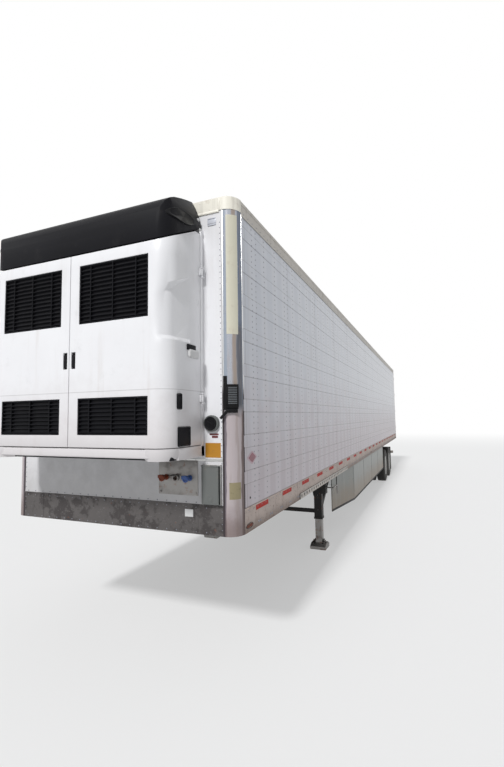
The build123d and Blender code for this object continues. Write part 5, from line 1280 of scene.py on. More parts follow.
class TRAILER_OT_tyres(bpy.types.Operator):
    """Ribbed tyres in pairs on each axle end."""

    bl_idname = "trailer.tyres"
    bl_label = "Tyres"

    def execute(self, context):
        half = tyre_outline()
        ring = half + [(-x, r) for x, r in reversed(half[1:])]
        for row, y in AXLE_Y.items():
            for name, side in SIDES:
                bm = bmesh.new()
                for offset in (-0.165, 0.165):
                    centre = (side * (DUAL_X + offset), y, AXLE_Z)
                    add_turned(bm, ring, centre, (1, 0, 0), sizes().tyre_segments, closed=True)
                piece(
                    f"road_tyres_{row}_{name}", bm, "tyre_rubber", f"dual_{row}_{name}",
                    replaces=[f"tyres_{row}_{name}"], smooth=32,
                )
        return {"FINISHED"}


class TRAILER_OT_wheels(bpy.types.Operator):
    """Steel disc wheels with hand holes, nuts and an oil cap on each hub."""

    bl_idname = "trailer.wheels"
    bl_label = "Wheels"

    def execute(self, context):
        for row, y in AXLE_Y.items():
            for name, side in SIDES:
                body = f"dual_{row}_{name}"
                spot = Matrix.Translation((side * DUAL_X, y, AXLE_Z)) @ Matrix.Diagonal((side, 1, 1, 1))
                self.rims(f"wheel_rims_{row}_{name}", body, spot, [f"wheels_{row}_{name}"])
                self.hub(f"{row}_{name}", body, spot)
        return {"FINISHED"}

    def rims(self, name, body, spot, replaced):
        bm = bmesh.new()
        for way in (1, -1):
            rim = [
                (0.278, 0.2955), (0.2855, 0.3000), (0.2868, 0.2960), (0.2835, 0.2890), (0.268, 0.2860),
                (0.225, 0.2800), (0.165, 0.2620), (0.115, 0.2620), (0.070, 0.2790), (0.050, 0.2840), (0.045, 0.2950),
                (0.0435, 0.2950), (0.0435, 0.2810), (0.060, 0.2740), (0.105, 0.2570), (0.170, 0.2570),
                (0.228, 0.2740), (0.262, 0.2800), (0.276, 0.2860),
            ]
            add_turned(bm, [(way * x, r) for x, r in rim], (0, 0, 0), (1, 0, 0), 60, closed=True)
            disc = [
                (0.155, 0.2572), (0.118, 0.2500), (0.085, 0.2380), (0.055, 0.2200), (0.033, 0.1980), (0.020, 0.1800),
                (0.0165, 0.1620), (0.0165, 0.1100),
            ]
            before = set(bm.faces)
            add_turned(bm, [(way * x, r) for x, r in disc], (0, 0, 0), (1, 0, 0), 60)
            fresh = [face for face in bm.faces if face not in before]
            doomed = []
            for face in fresh:
                middle = face.calc_center_median()
                reach = math.hypot(middle.y, middle.z)
                turn = math.degrees(math.atan2(middle.z, middle.y)) % 72.0
                if 0.205 < reach < 0.246 and 24.0 < turn < 48.0:
                    doomed.append(face)
            bmesh.ops.delete(bm, geom=doomed, context="FACES")
            rest = [face for face in fresh if face.is_valid]
            bmesh.ops.recalc_face_normals(bm, faces=rest)
            bmesh.ops.solidify(bm, geom=rest, thickness=0.009)
        bmesh.ops.transform(bm, matrix=spot, verts=bm.verts)
        piece(name, bm, "wheel_steel", body, replaces=replaced, smooth=40)

    def hub(self, name, body, spot):
        bm = bmesh.new()
        hub = [
            (0.0, 0.200), (0.026, 0.200), (0.027, 0.118), (0.034, 0.114), (0.05, 0.104), (0.09, 0.092),
            (0.125, 0.086), (0.130, 0.094), (0.140, 0.094), (0.142, 0.086), (0.150, 0.070), (0.184, 0.066),
            (0.190, 0.060), (0.190, 0.0),
        ]
        add_turned(bm, hub, (0, 0, 0), (1, 0, 0), 40)
        drum = [
            (-0.186, 0.0), (-0.186, 0.205), (-0.180, 0.219), (-0.10, 0.219), (-0.06, 0.212),
            (-0.02, 0.205), (0.0, 0.200),
        ]
        add_turned(bm, drum, (0, 0, 0), (1, 0, 0), 40)
        bmesh.ops.transform(bm, matrix=spot, verts=bm.verts)
        piece(f"hubs_{name}", bm, "engine_block", body, smooth=40)
        bm = bmesh.new()
        for number in range(10):
            angle = math.tau * number / 10
            y, z = 0.1428 * math.cos(angle), 0.1428 * math.sin(angle)
            add_rod(bm, (0.026, y, z), (0.031, y, z), 0.021, 16)
            add_rod(bm, (0.030, y, z), (0.050, y, z), 0.019, 6, 0.018)
            add_rod(bm, (0.048, y, z), (0.066, y, z), 0.011, 10, bevel=0.0015)
        for number in range(6):
            angle = math.tau * (number + 0.5) / 6
            y, z = 0.080 * math.cos(angle), 0.080 * math.sin(angle)
            add_rod(bm, (0.140, y, z), (0.147, y, z), 0.008, 6)
        bmesh.ops.transform(bm, matrix=spot, verts=bm.verts)
        piece(f"nuts_{name}", bm, "bare_steel", body, smooth=30)


# Under the floor.

GEAR_X, GEAR_HALF = 0.985, 0.0625
GEAR_Y = (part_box("landing_feet")[0].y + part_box("landing_feet")[1].y) / 2
SKIRT_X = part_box("side_skirts")[1].x
KINGPIN_Y = (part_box("kingpin")[0].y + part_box("kingpin")[1].y) / 2
SLIDER_X, SLIDER_LOW = 0.54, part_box("air_springs")[1].z
SLIDER_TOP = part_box("slider_frame")[1].z


class TRAILER_OT_landing_gear(bpy.types.Operator):
    """Bolts, covers, collars, foot pins and the crank's hook on the landing gear."""

    bl_idname = "trailer.landing_gear"
    bl_label = "Landing gear details"

    def execute(self, context):
        wing_x, side_x = GEAR_X - GEAR_HALF, GEAR_X + GEAR_HALF
        bm = bmesh.new()
        spots = [
            (wing_x, GEAR_Y + way * dy, z)
            for way in (1, -1)
            for dy, z in ((0.10, 1.14), (0.16, 1.14), (0.22, 1.14), (0.10, 1.06), (0.16, 1.06))
        ]
        add_heads(bm, spots, (1, 0, 0))
        cover = [(side_x + 0.0735, GEAR_Y + dy, z) for dy in (-0.055, 0.055) for z in (0.895, 0.98, 1.065)]
        add_heads(bm, cover, (1, 0, 0), 0.007)
        add_stud(bm, (GEAR_X - 0.105, GEAR_Y, 0.115), (0.21, 0, 0), 0.013, 16, bevel=0.002)
        for z in (0.62, 0.86):
            add_stud(bm, (GEAR_X, GEAR_Y - GEAR_HALF, z), (0, -0.014, 0), 0.005, 8, 0.003)
        piece("gear_bolts", bm, "bare_steel", both=True)
        bm = bmesh.new()
        add_box(bm, (side_x + 0.069, GEAR_Y - 0.066, 0.884), (side_x + 0.074, GEAR_Y + 0.066, 1.076), 0.002)
        add_turned(
            bm, [(0.0, 0.034), (0.008, 0.032), (0.010, 0.026), (0.010, 0.0)],
            (side_x + 0.073, GEAR_Y, 0.98), (1, 0, 0), 24,
        )
        grip = GEAR_HALF + 0.006
        for x0, y0, x1, y1 in (
            (-grip, -grip, grip, -GEAR_HALF), (-grip, GEAR_HALF, grip, grip), (-grip, -grip, -GEAR_HALF, grip),
            (GEAR_HALF, -grip, grip, grip),
        ):
            add_box(bm, (GEAR_X + x0, GEAR_Y + y0, 0.471), (GEAR_X + x1, GEAR_Y + y1, 0.505), 0.002)
        for x in (-0.075, 0.067):
            outline = [
                (GEAR_X + x, GEAR_Y + y, z)
                for y, z in ((-0.085, 0.086), (0.085, 0.086), (0.03, 0.145), (-0.03, 0.145))
            ]
            add_prism(bm, outline, (0.008, 0, 0), 0.001, 1)
        piece("gear_covers", bm, "black_steel", both=True)
        bm = bmesh.new()
        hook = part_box("landing_crank")[1]
        add_box(bm, (hook.x - 0.018, hook.y - 0.09, 0.962), (hook.x - 0.008, hook.y - 0.055, 1.168), 0.002)
        add_box(bm, (hook.x - 0.042, hook.y - 0.09, 0.956), (hook.x - 0.008, hook.y - 0.055, 0.966), 0.002)
        piece("crank_hook", bm, "black_steel")
        return {"FINISHED"}


class TRAILER_OT_skirt_trim(bpy.types.Operator):
    """The skirts' clamp strips, panel joints, rivets and rubber lower edges."""

    bl_idname = "trailer.skirt_trim"
    bl_label = "Skirt trim"

    def execute(self, context):
        full, end = FRONT + 5.65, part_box("side_skirts")[1].y
        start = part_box("side_skirts")[0].y
        lean = math.atan2(0.185, full - start)
        runs_of_panel = (
            (Matrix.Translation((SKIRT_X, full, 0)), end - full),
            (
                Matrix.Translation((SKIRT_X - 0.185, start, 0)) @ Matrix.Rotation(-lean, 4, "Z"),
                (full - start) / math.cos(lean),
            ),
        )
        strips, edges, rivets = bmesh.new(), bmesh.new(), bmesh.new()
        for spot, length in runs_of_panel:
            made = add_box(strips, (-0.001, 0, 1.128), (0.003, length, 1.168), 0.001, 1)
            joints = max(1, round(length / 1.35))
            for number in range(joints + 1):
                y = min(max(0.022, number * length / joints), length - 0.022)
                made += add_box(strips, (-0.001, y - 0.02, 0.5), (0.0025, y + 0.02, 1.13), 0.001, 1)
                pins = add_stud(rivets, (0.002, y, 0.53), (0.003, 0, 0), 0.006, 6, 0.004)
                pins = repeated(rivets, pins, 8, (0, 0, 0.08))
                bmesh.ops.transform(rivets, matrix=spot, verts=pins)
            bmesh.ops.transform(strips, matrix=spot, verts=made)
            pins = add_stud(rivets, (0.002, 0.06, 1.149), (0.004, 0, 0), 0.008, 6, 0.0065)
            pins = repeated(rivets, pins, int((length - 0.1) / 0.15), (0, 0.15, 0))
            bmesh.ops.transform(rivets, matrix=spot, verts=pins)
            lip = add_box(edges, (-0.0135, 0, 0.462), (0.002, length, 0.502), 0.003)
            bmesh.ops.transform(edges, matrix=spot, verts=lip)
        for name, bm, material in (
            ("skirt_strips", strips, "skirt_panel"), ("skirt_edges", edges, "rubber"),
            ("skirt_rivets", rivets, "rivet_head"),
        ):
            piece(name, bm, material, both=True)
        bm = bmesh.new()
        for y in (FRONT + 0.30, KINGPIN_Y - 0.30, KINGPIN_Y + 0.30, FRONT + 1.28):
            for x in (0.12, 0.3, 0.48):
                add_turned(
                    bm, [(-0.001, 0.017), (0.0006, 0.017), (0.0006, 0.011), (-0.0004, 0.0)], (x, y, 1.16),
                    (0, 0, -1), 16,
                )
        piece("coupler_screws", bm, "bare_steel", both=True)
        return {"FINISHED"}


class TRAILER_OT_tanks(bpy.types.Operator):
    """The fuel tank and the brake air tank, with straps, saddles, caps and ports."""

    bl_idname = "trailer.tanks"
    bl_label = "Tanks"

    def execute(self, context):
        low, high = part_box("fuel_tank")
        middle, length, radius = (low.y + high.y) / 2, high.y - low.y, 0.255
        centre = (0.70, middle, low.z + radius + 0.006)
        self.drum("fuel_drum", "tank_metal", centre, (0, 1, 0), length, radius, "trailer_body", ["fuel_tank"])
        bm = bmesh.new()
        for step in (-0.305, 0.305):
            ring = [
                (step - 0.022, radius), (step - 0.022, radius + 0.006), (step + 0.022, radius + 0.006),
                (step + 0.022, radius),
            ]
            add_turned(bm, ring, centre, (0, 1, 0), 48, closed=True)
            y = middle + step
            add_box(
                bm, (centre[0] - 0.18, y - 0.0225, centre[2] + 0.155), (centre[0] + 0.18, y + 0.0225, 1.17), 0.003,
            )
            add_heads(bm, [(centre[0] + 0.150, y, 1.06)], (1, 0, 0), 0.009)
        piece("tank_straps", bm, "frame_steel")
        bm = bmesh.new()
        neck_y, neck_z = middle - length / 4, centre[2] + 0.06
        neck = [
            (0.23, 0.030), (0.29, 0.030), (0.29, 0.0318), (0.296, 0.0318), (0.296, 0.0315), (0.3145, 0.0305),
            (0.315, 0.012), (0.311, 0.0),
        ]
        add_turned(bm, neck, (0.70, neck_y, neck_z), (1, 0, 0), 24)
        piece("fuel_cap", bm, "chrome")
        low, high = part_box("air_tank")
        centre = (0.0, (low.y + high.y) / 2, low.z + 0.12)
        self.drum("air_drum", "black_steel", centre, (1, 0, 0), high.x - low.x, 0.12, "tandem", ["air_tank"])
        bm = bmesh.new()
        for x in (-0.19, 0.19):
            add_turned(
                bm, [(x - 0.015, 0.12), (x - 0.015, 0.123), (x + 0.015, 0.123), (x + 0.015, 0.12)], centre, (1, 0, 0),
                40, closed=True,
            )
            add_box(bm, (x - 0.02, centre[1] - 0.06, centre[2] + 0.05), (x + 0.02, centre[1] + 0.06, high.z), 0.003)
        for x in (-0.30, 0.0, 0.30):
            add_stud(bm, (x, centre[1], centre[2] - 0.112), (0, 0, -0.008), 0.014, 6, bevel=0.001)
        add_heads(bm, [(0.36, centre[1], centre[2])], (1, 0, 0), 0.016)
        piece("air_straps", bm, "bare_steel", "tandem")
        return {"FINISHED"}

    def drum(self, name, material, centre, axis, length, radius, body, replaced):
        """A rolled drum with dished ends and a weld bead at each."""
        half, dome = length / 2, radius * 0.2
        end = [
            (half, 0.0), (half, radius * 0.45), (half - dome * 0.12, radius * 0.72),
            (half - dome * 0.45, radius * 0.92), (half - dome, radius), (half - dome - 0.006, radius),
            (half - dome - 0.009, radius + 0.002), (half - dome - 0.012, radius),
        ]
        bm = bmesh.new()
        outline = [(-step, r) for step, r in end] + [(step, r) for step, r in reversed(end)]
        add_turned(bm, outline, centre, axis, 48)
        piece(name, bm, material, body, replaces=replaced)


class TRAILER_OT_running_gear(bpy.types.Operator):
    """The axles with brake chambers and cams, the rubber air springs, pivot bolts and slider holes."""

    bl_idname = "trailer.running_gear"
    bl_label = "Running gear"

    def execute(self, context):
        axles, steel, springs, plates, holes = (bmesh.new() for _ in range(5))
        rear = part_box("air_springs")[1].y - 0.13 - AXLE_Y["rear"]
        seat = AXLE_Z + 0.0635
        for y in AXLE_Y.values():
            self.axle(axles, steel, y, seat)
            centre = (SLIDER_X, y + rear, seat + 0.045)
            height = SLIDER_LOW - centre[2]
            bellows = [
                (0.0, 0.0), (0.0, 0.085), (0.18, 0.088), (0.2, 0.108), (0.27, 0.125), (0.38, 0.13), (0.48, 0.124),
                (0.54, 0.108), (0.57, 0.106), (0.60, 0.108), (0.66, 0.124), (0.76, 0.13), (0.87, 0.124),
                (0.95, 0.106), (0.97, 0.0),
            ]
            add_turned(springs, [(up * height, r) for up, r in bellows], centre, (0, 0, 1), 40)
            add_turned(
                plates, [(0.0, 0.0), (0.0, 0.1), (0.006, 0.1), (0.006, 0.0)],
                (SLIDER_X, y + rear, SLIDER_LOW - 0.007), (0, 0, 1), 32,
            )
            for way in (-0.05, 0.05):
                spot = (SLIDER_X + way, y - 0.52, 0.645)
                add_turned(
                    plates, [(0.0, 0.034), (0.006, 0.034), (0.008, 0.03), (0.008, 0.0)], spot,
                    (math.copysign(1, way), 0, 0), 24,
                )
                add_heads(
                    plates, [(spot[0] + math.copysign(0.008, way), spot[1], spot[2])],
                    (math.copysign(1, way), 0, 0), 0.022,
                )
        rail = SLIDER_X + 0.045
        front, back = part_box("slider_frame")[0].y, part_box("slider_frame")[1].y
        # Thin black discs stand for the slider's holes: their black is painted shade inside them.
        hole = add_turned(
            holes, [(-0.001, 0.022), (0.0008, 0.022), (0.0008, 0.018), (-0.0004, 0.017), (-0.0004, 0.0)],
            (rail, front + 0.10, SLIDER_TOP - 0.05), (1, 0, 0), 20,
        )
        repeated(holes, hole, int((back - front - 0.3) / SLIDER_HOLE_PITCH), (0, SLIDER_HOLE_PITCH, 0))
        for y in (front + 0.25, AXLE_Y["rear"] - 0.10):
            add_stud(plates, (rail - 0.002, y, SLIDER_TOP - 0.05), (0.037, 0, 0), 0.0165, 20, bevel=0.003)
        add_rod(
            plates, (rail - 0.12, front + 0.25, SLIDER_LOW + 0.02),
            (rail - 0.12, AXLE_Y["rear"] - 0.1, SLIDER_LOW + 0.02), 0.009, 12,
        )
        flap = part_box("mud_flaps")
        for y0, y1 in ((flap[0].y - 0.003, flap[0].y + 0.001), (flap[1].y - 0.001, flap[1].y + 0.003)):
            add_box(
                plates, (flap[1].x - 0.59, y0, flap[1].z - 0.055), (flap[1].x - 0.01, y1, flap[1].z - 0.012), 0.001, 1,
            )
        add_heads(
            plates, [(flap[1].x - dx, flap[1].y + 0.002, flap[1].z - 0.034) for dx in (0.05, 0.17, 0.29, 0.41, 0.53)],
            (0, 1, 0), 0.009
        )
        body_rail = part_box("tandem_body_rails")
        spots = bmesh.new()
        # Black discs for the body rails' holes: painted shade inside them.
        hole = add_turned(
            spots, [(-0.001, 0.020), (0.0008, 0.020), (0.0008, 0.016), (-0.0004, 0.015), (-0.0004, 0.0)],
            (body_rail[1].x, body_rail[0].y + 0.12, SLIDER_TOP + 0.06), (1, 0, 0), 16,
        )
        repeated(
            spots, hole, int((body_rail[1].y - body_rail[0].y - 0.2) / SLIDER_HOLE_PITCH), (0, SLIDER_HOLE_PITCH, 0),
        )
        piece("road_axles", axles, "black_steel", "tandem", replaces=["axles"], both=True)
        piece("axle_bolts", steel, "bare_steel", "tandem", both=True)
        piece("bellows", springs, "rubber", "tandem", replaces=["air_springs"], smooth=50, both=True)
        piece("suspension_bolts", plates, "bare_steel", "tandem", both=True)
        piece("slider_holes", holes, "unit_black", "tandem", both=True)
        piece("body_rail_holes", spots, "unit_black", both=True)
        return {"FINISHED"}

    def axle(self, bm, steel, y, seat):
        """Half an axle: tube, spindle, seat, shield, brake chamber, camshaft and the bolts round the seat."""
        z = AXLE_Z
        shoulder = DUAL_X - 0.193
        add_rod(bm, (0, y, z), (shoulder, y, z), 0.0635, 32)
        add_rod(bm, (shoulder - 0.01, y, z), (DUAL_X - 0.187, y, z), 0.06, 32)
        add_box(bm, (SLIDER_X - 0.04, y - 0.07, z), (SLIDER_X + 0.04, y + 0.07, seat), 0.003)
        add_turned(
            bm, [(-0.006, 0.0), (-0.006, 0.205), (-0.003, 0.208), (0.003, 0.208), (0.003, 0.195), (0.0, 0.0)],
            (shoulder, y, z), (1, 0, 0), 40,
        )
        near, chamber = 0.35, z - 0.028
        profile = [
            (0.0, 0.0), (0.0, 0.05), (0.012, 0.072), (0.05, 0.078), (0.062, 0.0835), (0.078, 0.0835), (0.084, 0.076),
            (0.115, 0.076), (0.121, 0.0825), (0.135, 0.0825), (0.142, 0.074), (0.160, 0.06),
            (0.169, 0.03), (0.169, 0.0),
        ]
        add_turned(bm, profile, (near, y + 0.19, chamber), (1, 0, 0), 36)
        add_box(bm, (near - 0.012, y + 0.02, chamber - 0.042), (near + 0.012, y + 0.19, chamber + 0.042), 0.004)
        add_rod(bm, (near - 0.03, y + 0.085, z - 0.03), (shoulder, y + 0.085, z - 0.03), 0.017, 16)
        add_rod(steel, (near, y + 0.19, chamber), (near - 0.07, y + 0.17, chamber), 0.008, 12)
        arm = [
            (near - 0.085, y + 0.185, chamber + 0.012), (near - 0.085, y + 0.185, chamber - 0.012),
            (near - 0.085, y + 0.065, chamber - 0.03), (near - 0.085, y + 0.065, chamber + 0.028),
        ]
        add_prism(steel, arm, (0.022, 0, 0), 0.004)
        for dx in (-0.034, 0.034):
            for dy in (-0.082, 0.082):
                add_rod(steel, (SLIDER_X + dx, y + dy, z - 0.04), (SLIDER_X + dx, y + dy, seat + 0.02), 0.009, 12)
            bow = add_turned(
                steel, [(dx - 0.009, 0.0735), (dx, 0.0825), (dx + 0.009, 0.0735), (dx, 0.0655)], (SLIDER_X, y, z),
                (1, 0, 0), 32, closed=True,
            )
            bmesh.ops.delete(steel, geom=[vert for vert in bow if vert.co.z > z + 0.001], context="VERTS")


# The rear.

REAR_LOW, REAR_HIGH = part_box("rear_door_left")[0].z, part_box("rear_door_left")[1].z
DOOR_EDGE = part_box("rear_door_left")[1].x
REAR_HINGES = [REAR_LOW + 0.23 + n * (REAR_HIGH - REAR_LOW - 0.46) / 3 for n in range(4)]


class TRAILER_OT_rear_doors(bpy.types.Operator):
    """The rear doors' seals, hinges, lock rods with cams and keepers, handles and marks."""

    bl_idname = "trailer.rear_doors"
    bl_label = "Rear doors"

    def execute(self, context):
        for name, side in SIDES:
            steel, black, white, red = (bmesh.new() for _ in range(4))
            for z in REAR_HINGES:
                self.hinge(steel, z)
            for x, way in ((DOOR_EDGE - 0.265, -1), (DOOR_EDGE - 0.905, 1)):
                self.rod(steel, black, x, way)
            low, high, edge = REAR_LOW, REAR_HIGH, DOOR_EDGE
            for x0, x1, z0, z1 in (
                (0.005, 0.021, low, high), (edge - 0.016, edge, low, high), (0.021, edge - 0.016, low, low + 0.016),
                (0.021, edge - 0.016, high - 0.016, high),
            ):
                add_box(black, (x0, DOORS - 0.004, z0), (x1, DOORS + 0.004, z1), 0.002)
            for n in range(3):
                for bm, x in ((red, 0.05 + 0.39 * n), (white, 0.245 + 0.39 * n)):
                    add_box(
                        bm, (x, DOORS - 0.001, low + 0.105),
                        (min(x + 0.19, edge - 0.03), DOORS + 0.0008, low + 0.155), 0.0004, 1,
                    )
            body, liner = f"rear_door_{name}", bmesh.new()
            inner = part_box(body)[0].y
            add_box(liner, (0.06, inner - 0.0015, low + 0.06), (edge - 0.06, inner + 0.001, high - 0.06), 0.0005, 1)
            piece(f"door_liner_{name}", liner, "liner_plastic", body, side=side)
            piece(
                f"door_steel_{name}", steel, "frame_steel", body, replaces=[f"rear_door_{name}_hardware"], side=side,
            )
            piece(f"door_seals_{name}", black, "rubber", body, side=side)
            piece(f"door_white_{name}", white, "pale_sign", body, side=side)
            piece(f"door_red_{name}", red, "red_tape", body, side=side)
        return {"FINISHED"}

    def hinge(self, bm, z):
        """A strap that runs flat on the door and rises to its knuckle, with its bolts."""
        pin_x, pin_y = 1.288, DOORS + 0.054
        knee = DOOR_EDGE - 0.016
        outline = [
            (0.958, DOORS), (knee, DOORS), (pin_x - 0.006, pin_y - 0.010), (pin_x, pin_y),
            (pin_x - 0.008, pin_y + 0.004), (knee - 0.004, DOORS + 0.008), (0.958, DOORS + 0.008),
        ]
        add_prism(bm, [(x, y, z - 0.03) for x, y in outline], (0, 0, 0.06), 0.0015, 1)
        ring = [
            (-0.035, 0.0064), (-0.035, 0.0105), (-0.0335, 0.012), (0.0335, 0.012), (0.035, 0.0105), (0.035, 0.0064),
        ]
        add_turned(bm, ring, (pin_x, pin_y, z), (0, 0, 1), 24, closed=True)
        add_heads(bm, [(x, DOORS + 0.008, z) for x in (0.985, 1.06, 1.135, 1.185)], (0, 1, 0), 0.011)

    def rod(self, bm, black, x, way):
        """A lock rod with its bearings, end cams and swinging handle."""
        y = DOORS + 0.0215
        add_rod(bm, (x, y, REAR_LOW + 0.008), (x, y, REAR_HIGH - 0.008), 0.0135, 20, bevel=0.001)
        for z in (REAR_LOW + 0.06, (REAR_LOW + REAR_HIGH) / 2, REAR_HIGH - 0.06):
            outline = [
                (x - 0.034, DOORS), (x + 0.034, DOORS), (x + 0.026, DOORS + 0.010), (x + 0.017, y + 0.010),
                (x, y + 0.0165), (x - 0.017, y + 0.010), (x - 0.026, DOORS + 0.010),
            ]
            add_prism(bm, [(px, py, z - 0.024) for px, py in outline], (0, 0, 0.048), 0.002, 1)
            for dx in (-0.027, 0.027):
                add_heads(bm, [(x + dx, DOORS + 0.008, z + dz) for dz in (-0.014, 0.014)], (0, 1, 0), 0.006)
        for z, up in ((REAR_LOW + 0.012, 1), (REAR_HIGH - 0.012, -1)):
            outline = [
                (x - 0.016, y - 0.012), (x + 0.024, y - 0.012), (x + 0.03, y + 0.002), (x + 0.012, y + 0.014),
                (x - 0.016, y + 0.012),
            ]
            add_prism(bm, [(px, py, z) for px, py in outline], (0, 0, up * 0.016), 0.002, 1)
        z, reach = REAR_LOW + 0.62, way * 0.26
        outline = [
            (x, z - 0.017), (x + reach * 0.72, z - 0.017), (x + reach, z - 0.010), (x + reach, z + 0.016),
            (x + reach * 0.6, z + 0.017), (x, z + 0.017),
        ]
        add_prism(bm, [(px, y + 0.0075, pz) for px, pz in outline], (0, 0.0095, 0), 0.003)
        add_turned(
            bm, [(-0.024, 0.0136), (-0.024, 0.017), (0.024, 0.017), (0.024, 0.0136)], (x, y, z), (0, 0, 1),
            20, closed=True,
        )
        ends = sorted((x + reach * 0.86, x + reach))
        add_box(bm, (ends[0], DOORS, z - 0.026), (ends[1], DOORS + 0.008, z + 0.026), 0.002)
        add_box(bm, (ends[0] + 0.008, DOORS + 0.006, z - 0.026), (ends[1] - 0.008, y + 0.015, z - 0.016), 0.002)
        add_box(black, (ends[0] + 0.006, y + 0.0165, z - 0.012), (ends[1] - 0.006, y + 0.019, z + 0.012), 0.001, 1)


class TRAILER_OT_rear_frame(bpy.types.Operator):
    """Lamps with grommets, the bare plate, guard marks, dock bumper bolts and the sill's tread strip."""

    bl_idname = "trailer.rear_frame"
    bl_label = "Rear frame and lamps"

    def execute(self, context):
        lens, black, red, white = (bmesh.new() for _ in range(4))
        for distance in SIDE_LAMPS:
            y, z = FRONT + distance, SIDE_LAMP_Z
            add_box(lens, (RAIL_X - 0.001, y - 0.062, z - 0.0145), (RAIL_X + 0.003, y + 0.062, z + 0.0145), 0.0012, 2)
            rib = add_box(
                lens, (RAIL_X + 0.002, y - 0.052, z - 0.011), (RAIL_X + 0.004, y - 0.048, z + 0.011), 0.0006, 1,
            )
            repeated(lens, rib, 11, (0, 0.01, 0))
        z = (BOTTOM + 1.4) / 2
        for x in (1.075, 1.195):
            rings = [
                (0.0, 0.0475), (0.010, 0.0475), (0.013, 0.045), (0.012, 0.036), (0.0135, 0.034), (0.0125, 0.022),
                (0.014, 0.02), (0.0135, 0.0),
            ]
            add_turned(lens, rings, (x, DOORS, z), (0, 1, 0), 40)
            add_turned(
                black,
                [(-0.001, 0.06), (0.005, 0.059), (0.008, 0.056), (0.008, 0.050), (0.004, 0.0465), (-0.001, 0.0465)],
                (x, DOORS, z), (0, 1, 0), 40, closed=True,
            )
        for x in (0.0, 0.15, 1.23):
            z = 4.0275
            add_box(lens, (x - 0.033, DOORS, z - 0.013), (x + 0.033, DOORS + 0.0135, z + 0.013), 0.004, 3)
            add_box(black, (x - 0.04, DOORS - 0.001, z - 0.02), (x + 0.04, DOORS + 0.004, z + 0.02), 0.0035, 2)
        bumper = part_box("dock_bumpers")[1]
        add_heads(black, [(x, bumper.y - 0.011, 1.265) for x in (0.80, 0.96)], (0, 1, 0), 0.012)
        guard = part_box("rear_guard")
        for n in range(4):
            for bm, x in ((red, 0.05 + 0.29 * n), (white, 0.195 + 0.29 * n)):
                add_box(
                    bm, (x, guard[1].y - 0.001, guard[0].z + 0.025),
                    (min(x + 0.14, 1.14), guard[1].y + 0.0008, guard[0].z + 0.075), 0.0004, 1,
                )
        for corner in (0.965, 1.13):
            add_box(white, (corner, DOORS - 0.001, 4.06), (corner + 0.16, DOORS + 0.0008, 4.10), 0.0004, 1)
        add_box(white, (1.245, DOORS - 0.001, 3.92), (1.285, DOORS + 0.0008, 4.06), 0.0004, 1)
        piece("lamp_lenses", lens, "lamp_red", replaces=["lamps"], both=True)
        piece("lamp_grommets", black, "rubber", both=True)
        piece("guard_red", red, "red_tape", both=True)
        piece("guard_white", white, "pale_sign", both=True)
        bm = bmesh.new()
        add_box(bm, (-0.52, DOORS - 0.001, 1.2), (-0.215, DOORS + 0.0025, 1.352), 0.0012)
        add_box(bm, (-0.5, DOORS + 0.002, 1.192), (-0.235, DOORS + 0.0035, 1.2), 0.0005, 1)
        piece("bare_plate", bm, "pale_sign")
        bm = bmesh.new()
        add_heads(bm, [(x, DOORS + 0.002, z) for x in (-0.455, -0.28) for z in (1.218, 1.335)], (0, 1, 0), 0.006)
        add_box(bm, (-0.405, DOORS - 0.001, 1.358), (-0.33, DOORS + 0.028, 1.386), 0.005)
        for x in (-0.70, 0.70):
            add_heads(
                bm, [(x + dx, guard[1].y, z) for dx in (-0.035, 0.035) for z in (0.67, 0.72, 1.08, 1.14)],
                (0, 1, 0), 0.010
            )
        strip = add_box(bm, (-1.05, DOORS - 0.09, 1.3995), (-1.03, DOORS - 0.002, 1.4025), 0.001, 1)
        repeated(bm, strip, 43, (0.05, 0, 0))
        piece("rear_fasteners", bm, "bare_steel")
        return {"FINISHED"}


# Inside, and the fittings at the front.


class TRAILER_OT_inside(bpy.types.Operator):
    """Liner sheets with their joints, kick plates and the bulkhead's screws in the load space."""

    bl_idname = "trailer.inside"
    bl_label = "Load space"

    def execute(self, context):
        wall, start, end = INNER_WALL, FRONT + 0.19, FRAME_Y - 0.01
        metal, joints, sheets = bmesh.new(), bmesh.new(), bmesh.new()
        add_box(sheets, (wall - 0.0015, start, 1.705), (wall + 0.001, end, 3.955))
        add_box(metal, (wall - 0.005, start, 1.401), (wall + 0.001, end, 1.71), 0.0015, 1)
        strip = add_box(joints, (wall - 0.0025, start + 1.2, 1.71), (wall + 0.001, start + 1.24, 3.95), 0.0008, 1)
        repeated(joints, strip, 11, (0, 1.22, 0))
        pins = add_stud(joints, (wall - 0.004, start + 0.08, 1.695), (-0.004, 0, 0), 0.007, 6, 0.005)
        repeated(joints, pins, int((end - start - 0.1) / 0.2), (0, 0.2, 0))
        piece("kick_plates", metal, "floor_metal", both=True)
        piece("liner_joints", joints, "liner_plastic", both=True)
        piece("liner_sheets", sheets, "liner_plastic", both=True)
        bm = bmesh.new()
        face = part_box("return_bulkhead")[1].y
        for z in (1.66, 2.2, 2.8, 3.4):
            head = add_stud(bm, (-0.989, face - 0.001, z), (0, 0.005, 0), 0.009, 8, 0.006)
            repeated(bm, head, 10, (0.23, 0, 0))
        piece("bulkhead_screws", bm, "bare_steel")
        return {"FINISHED"}


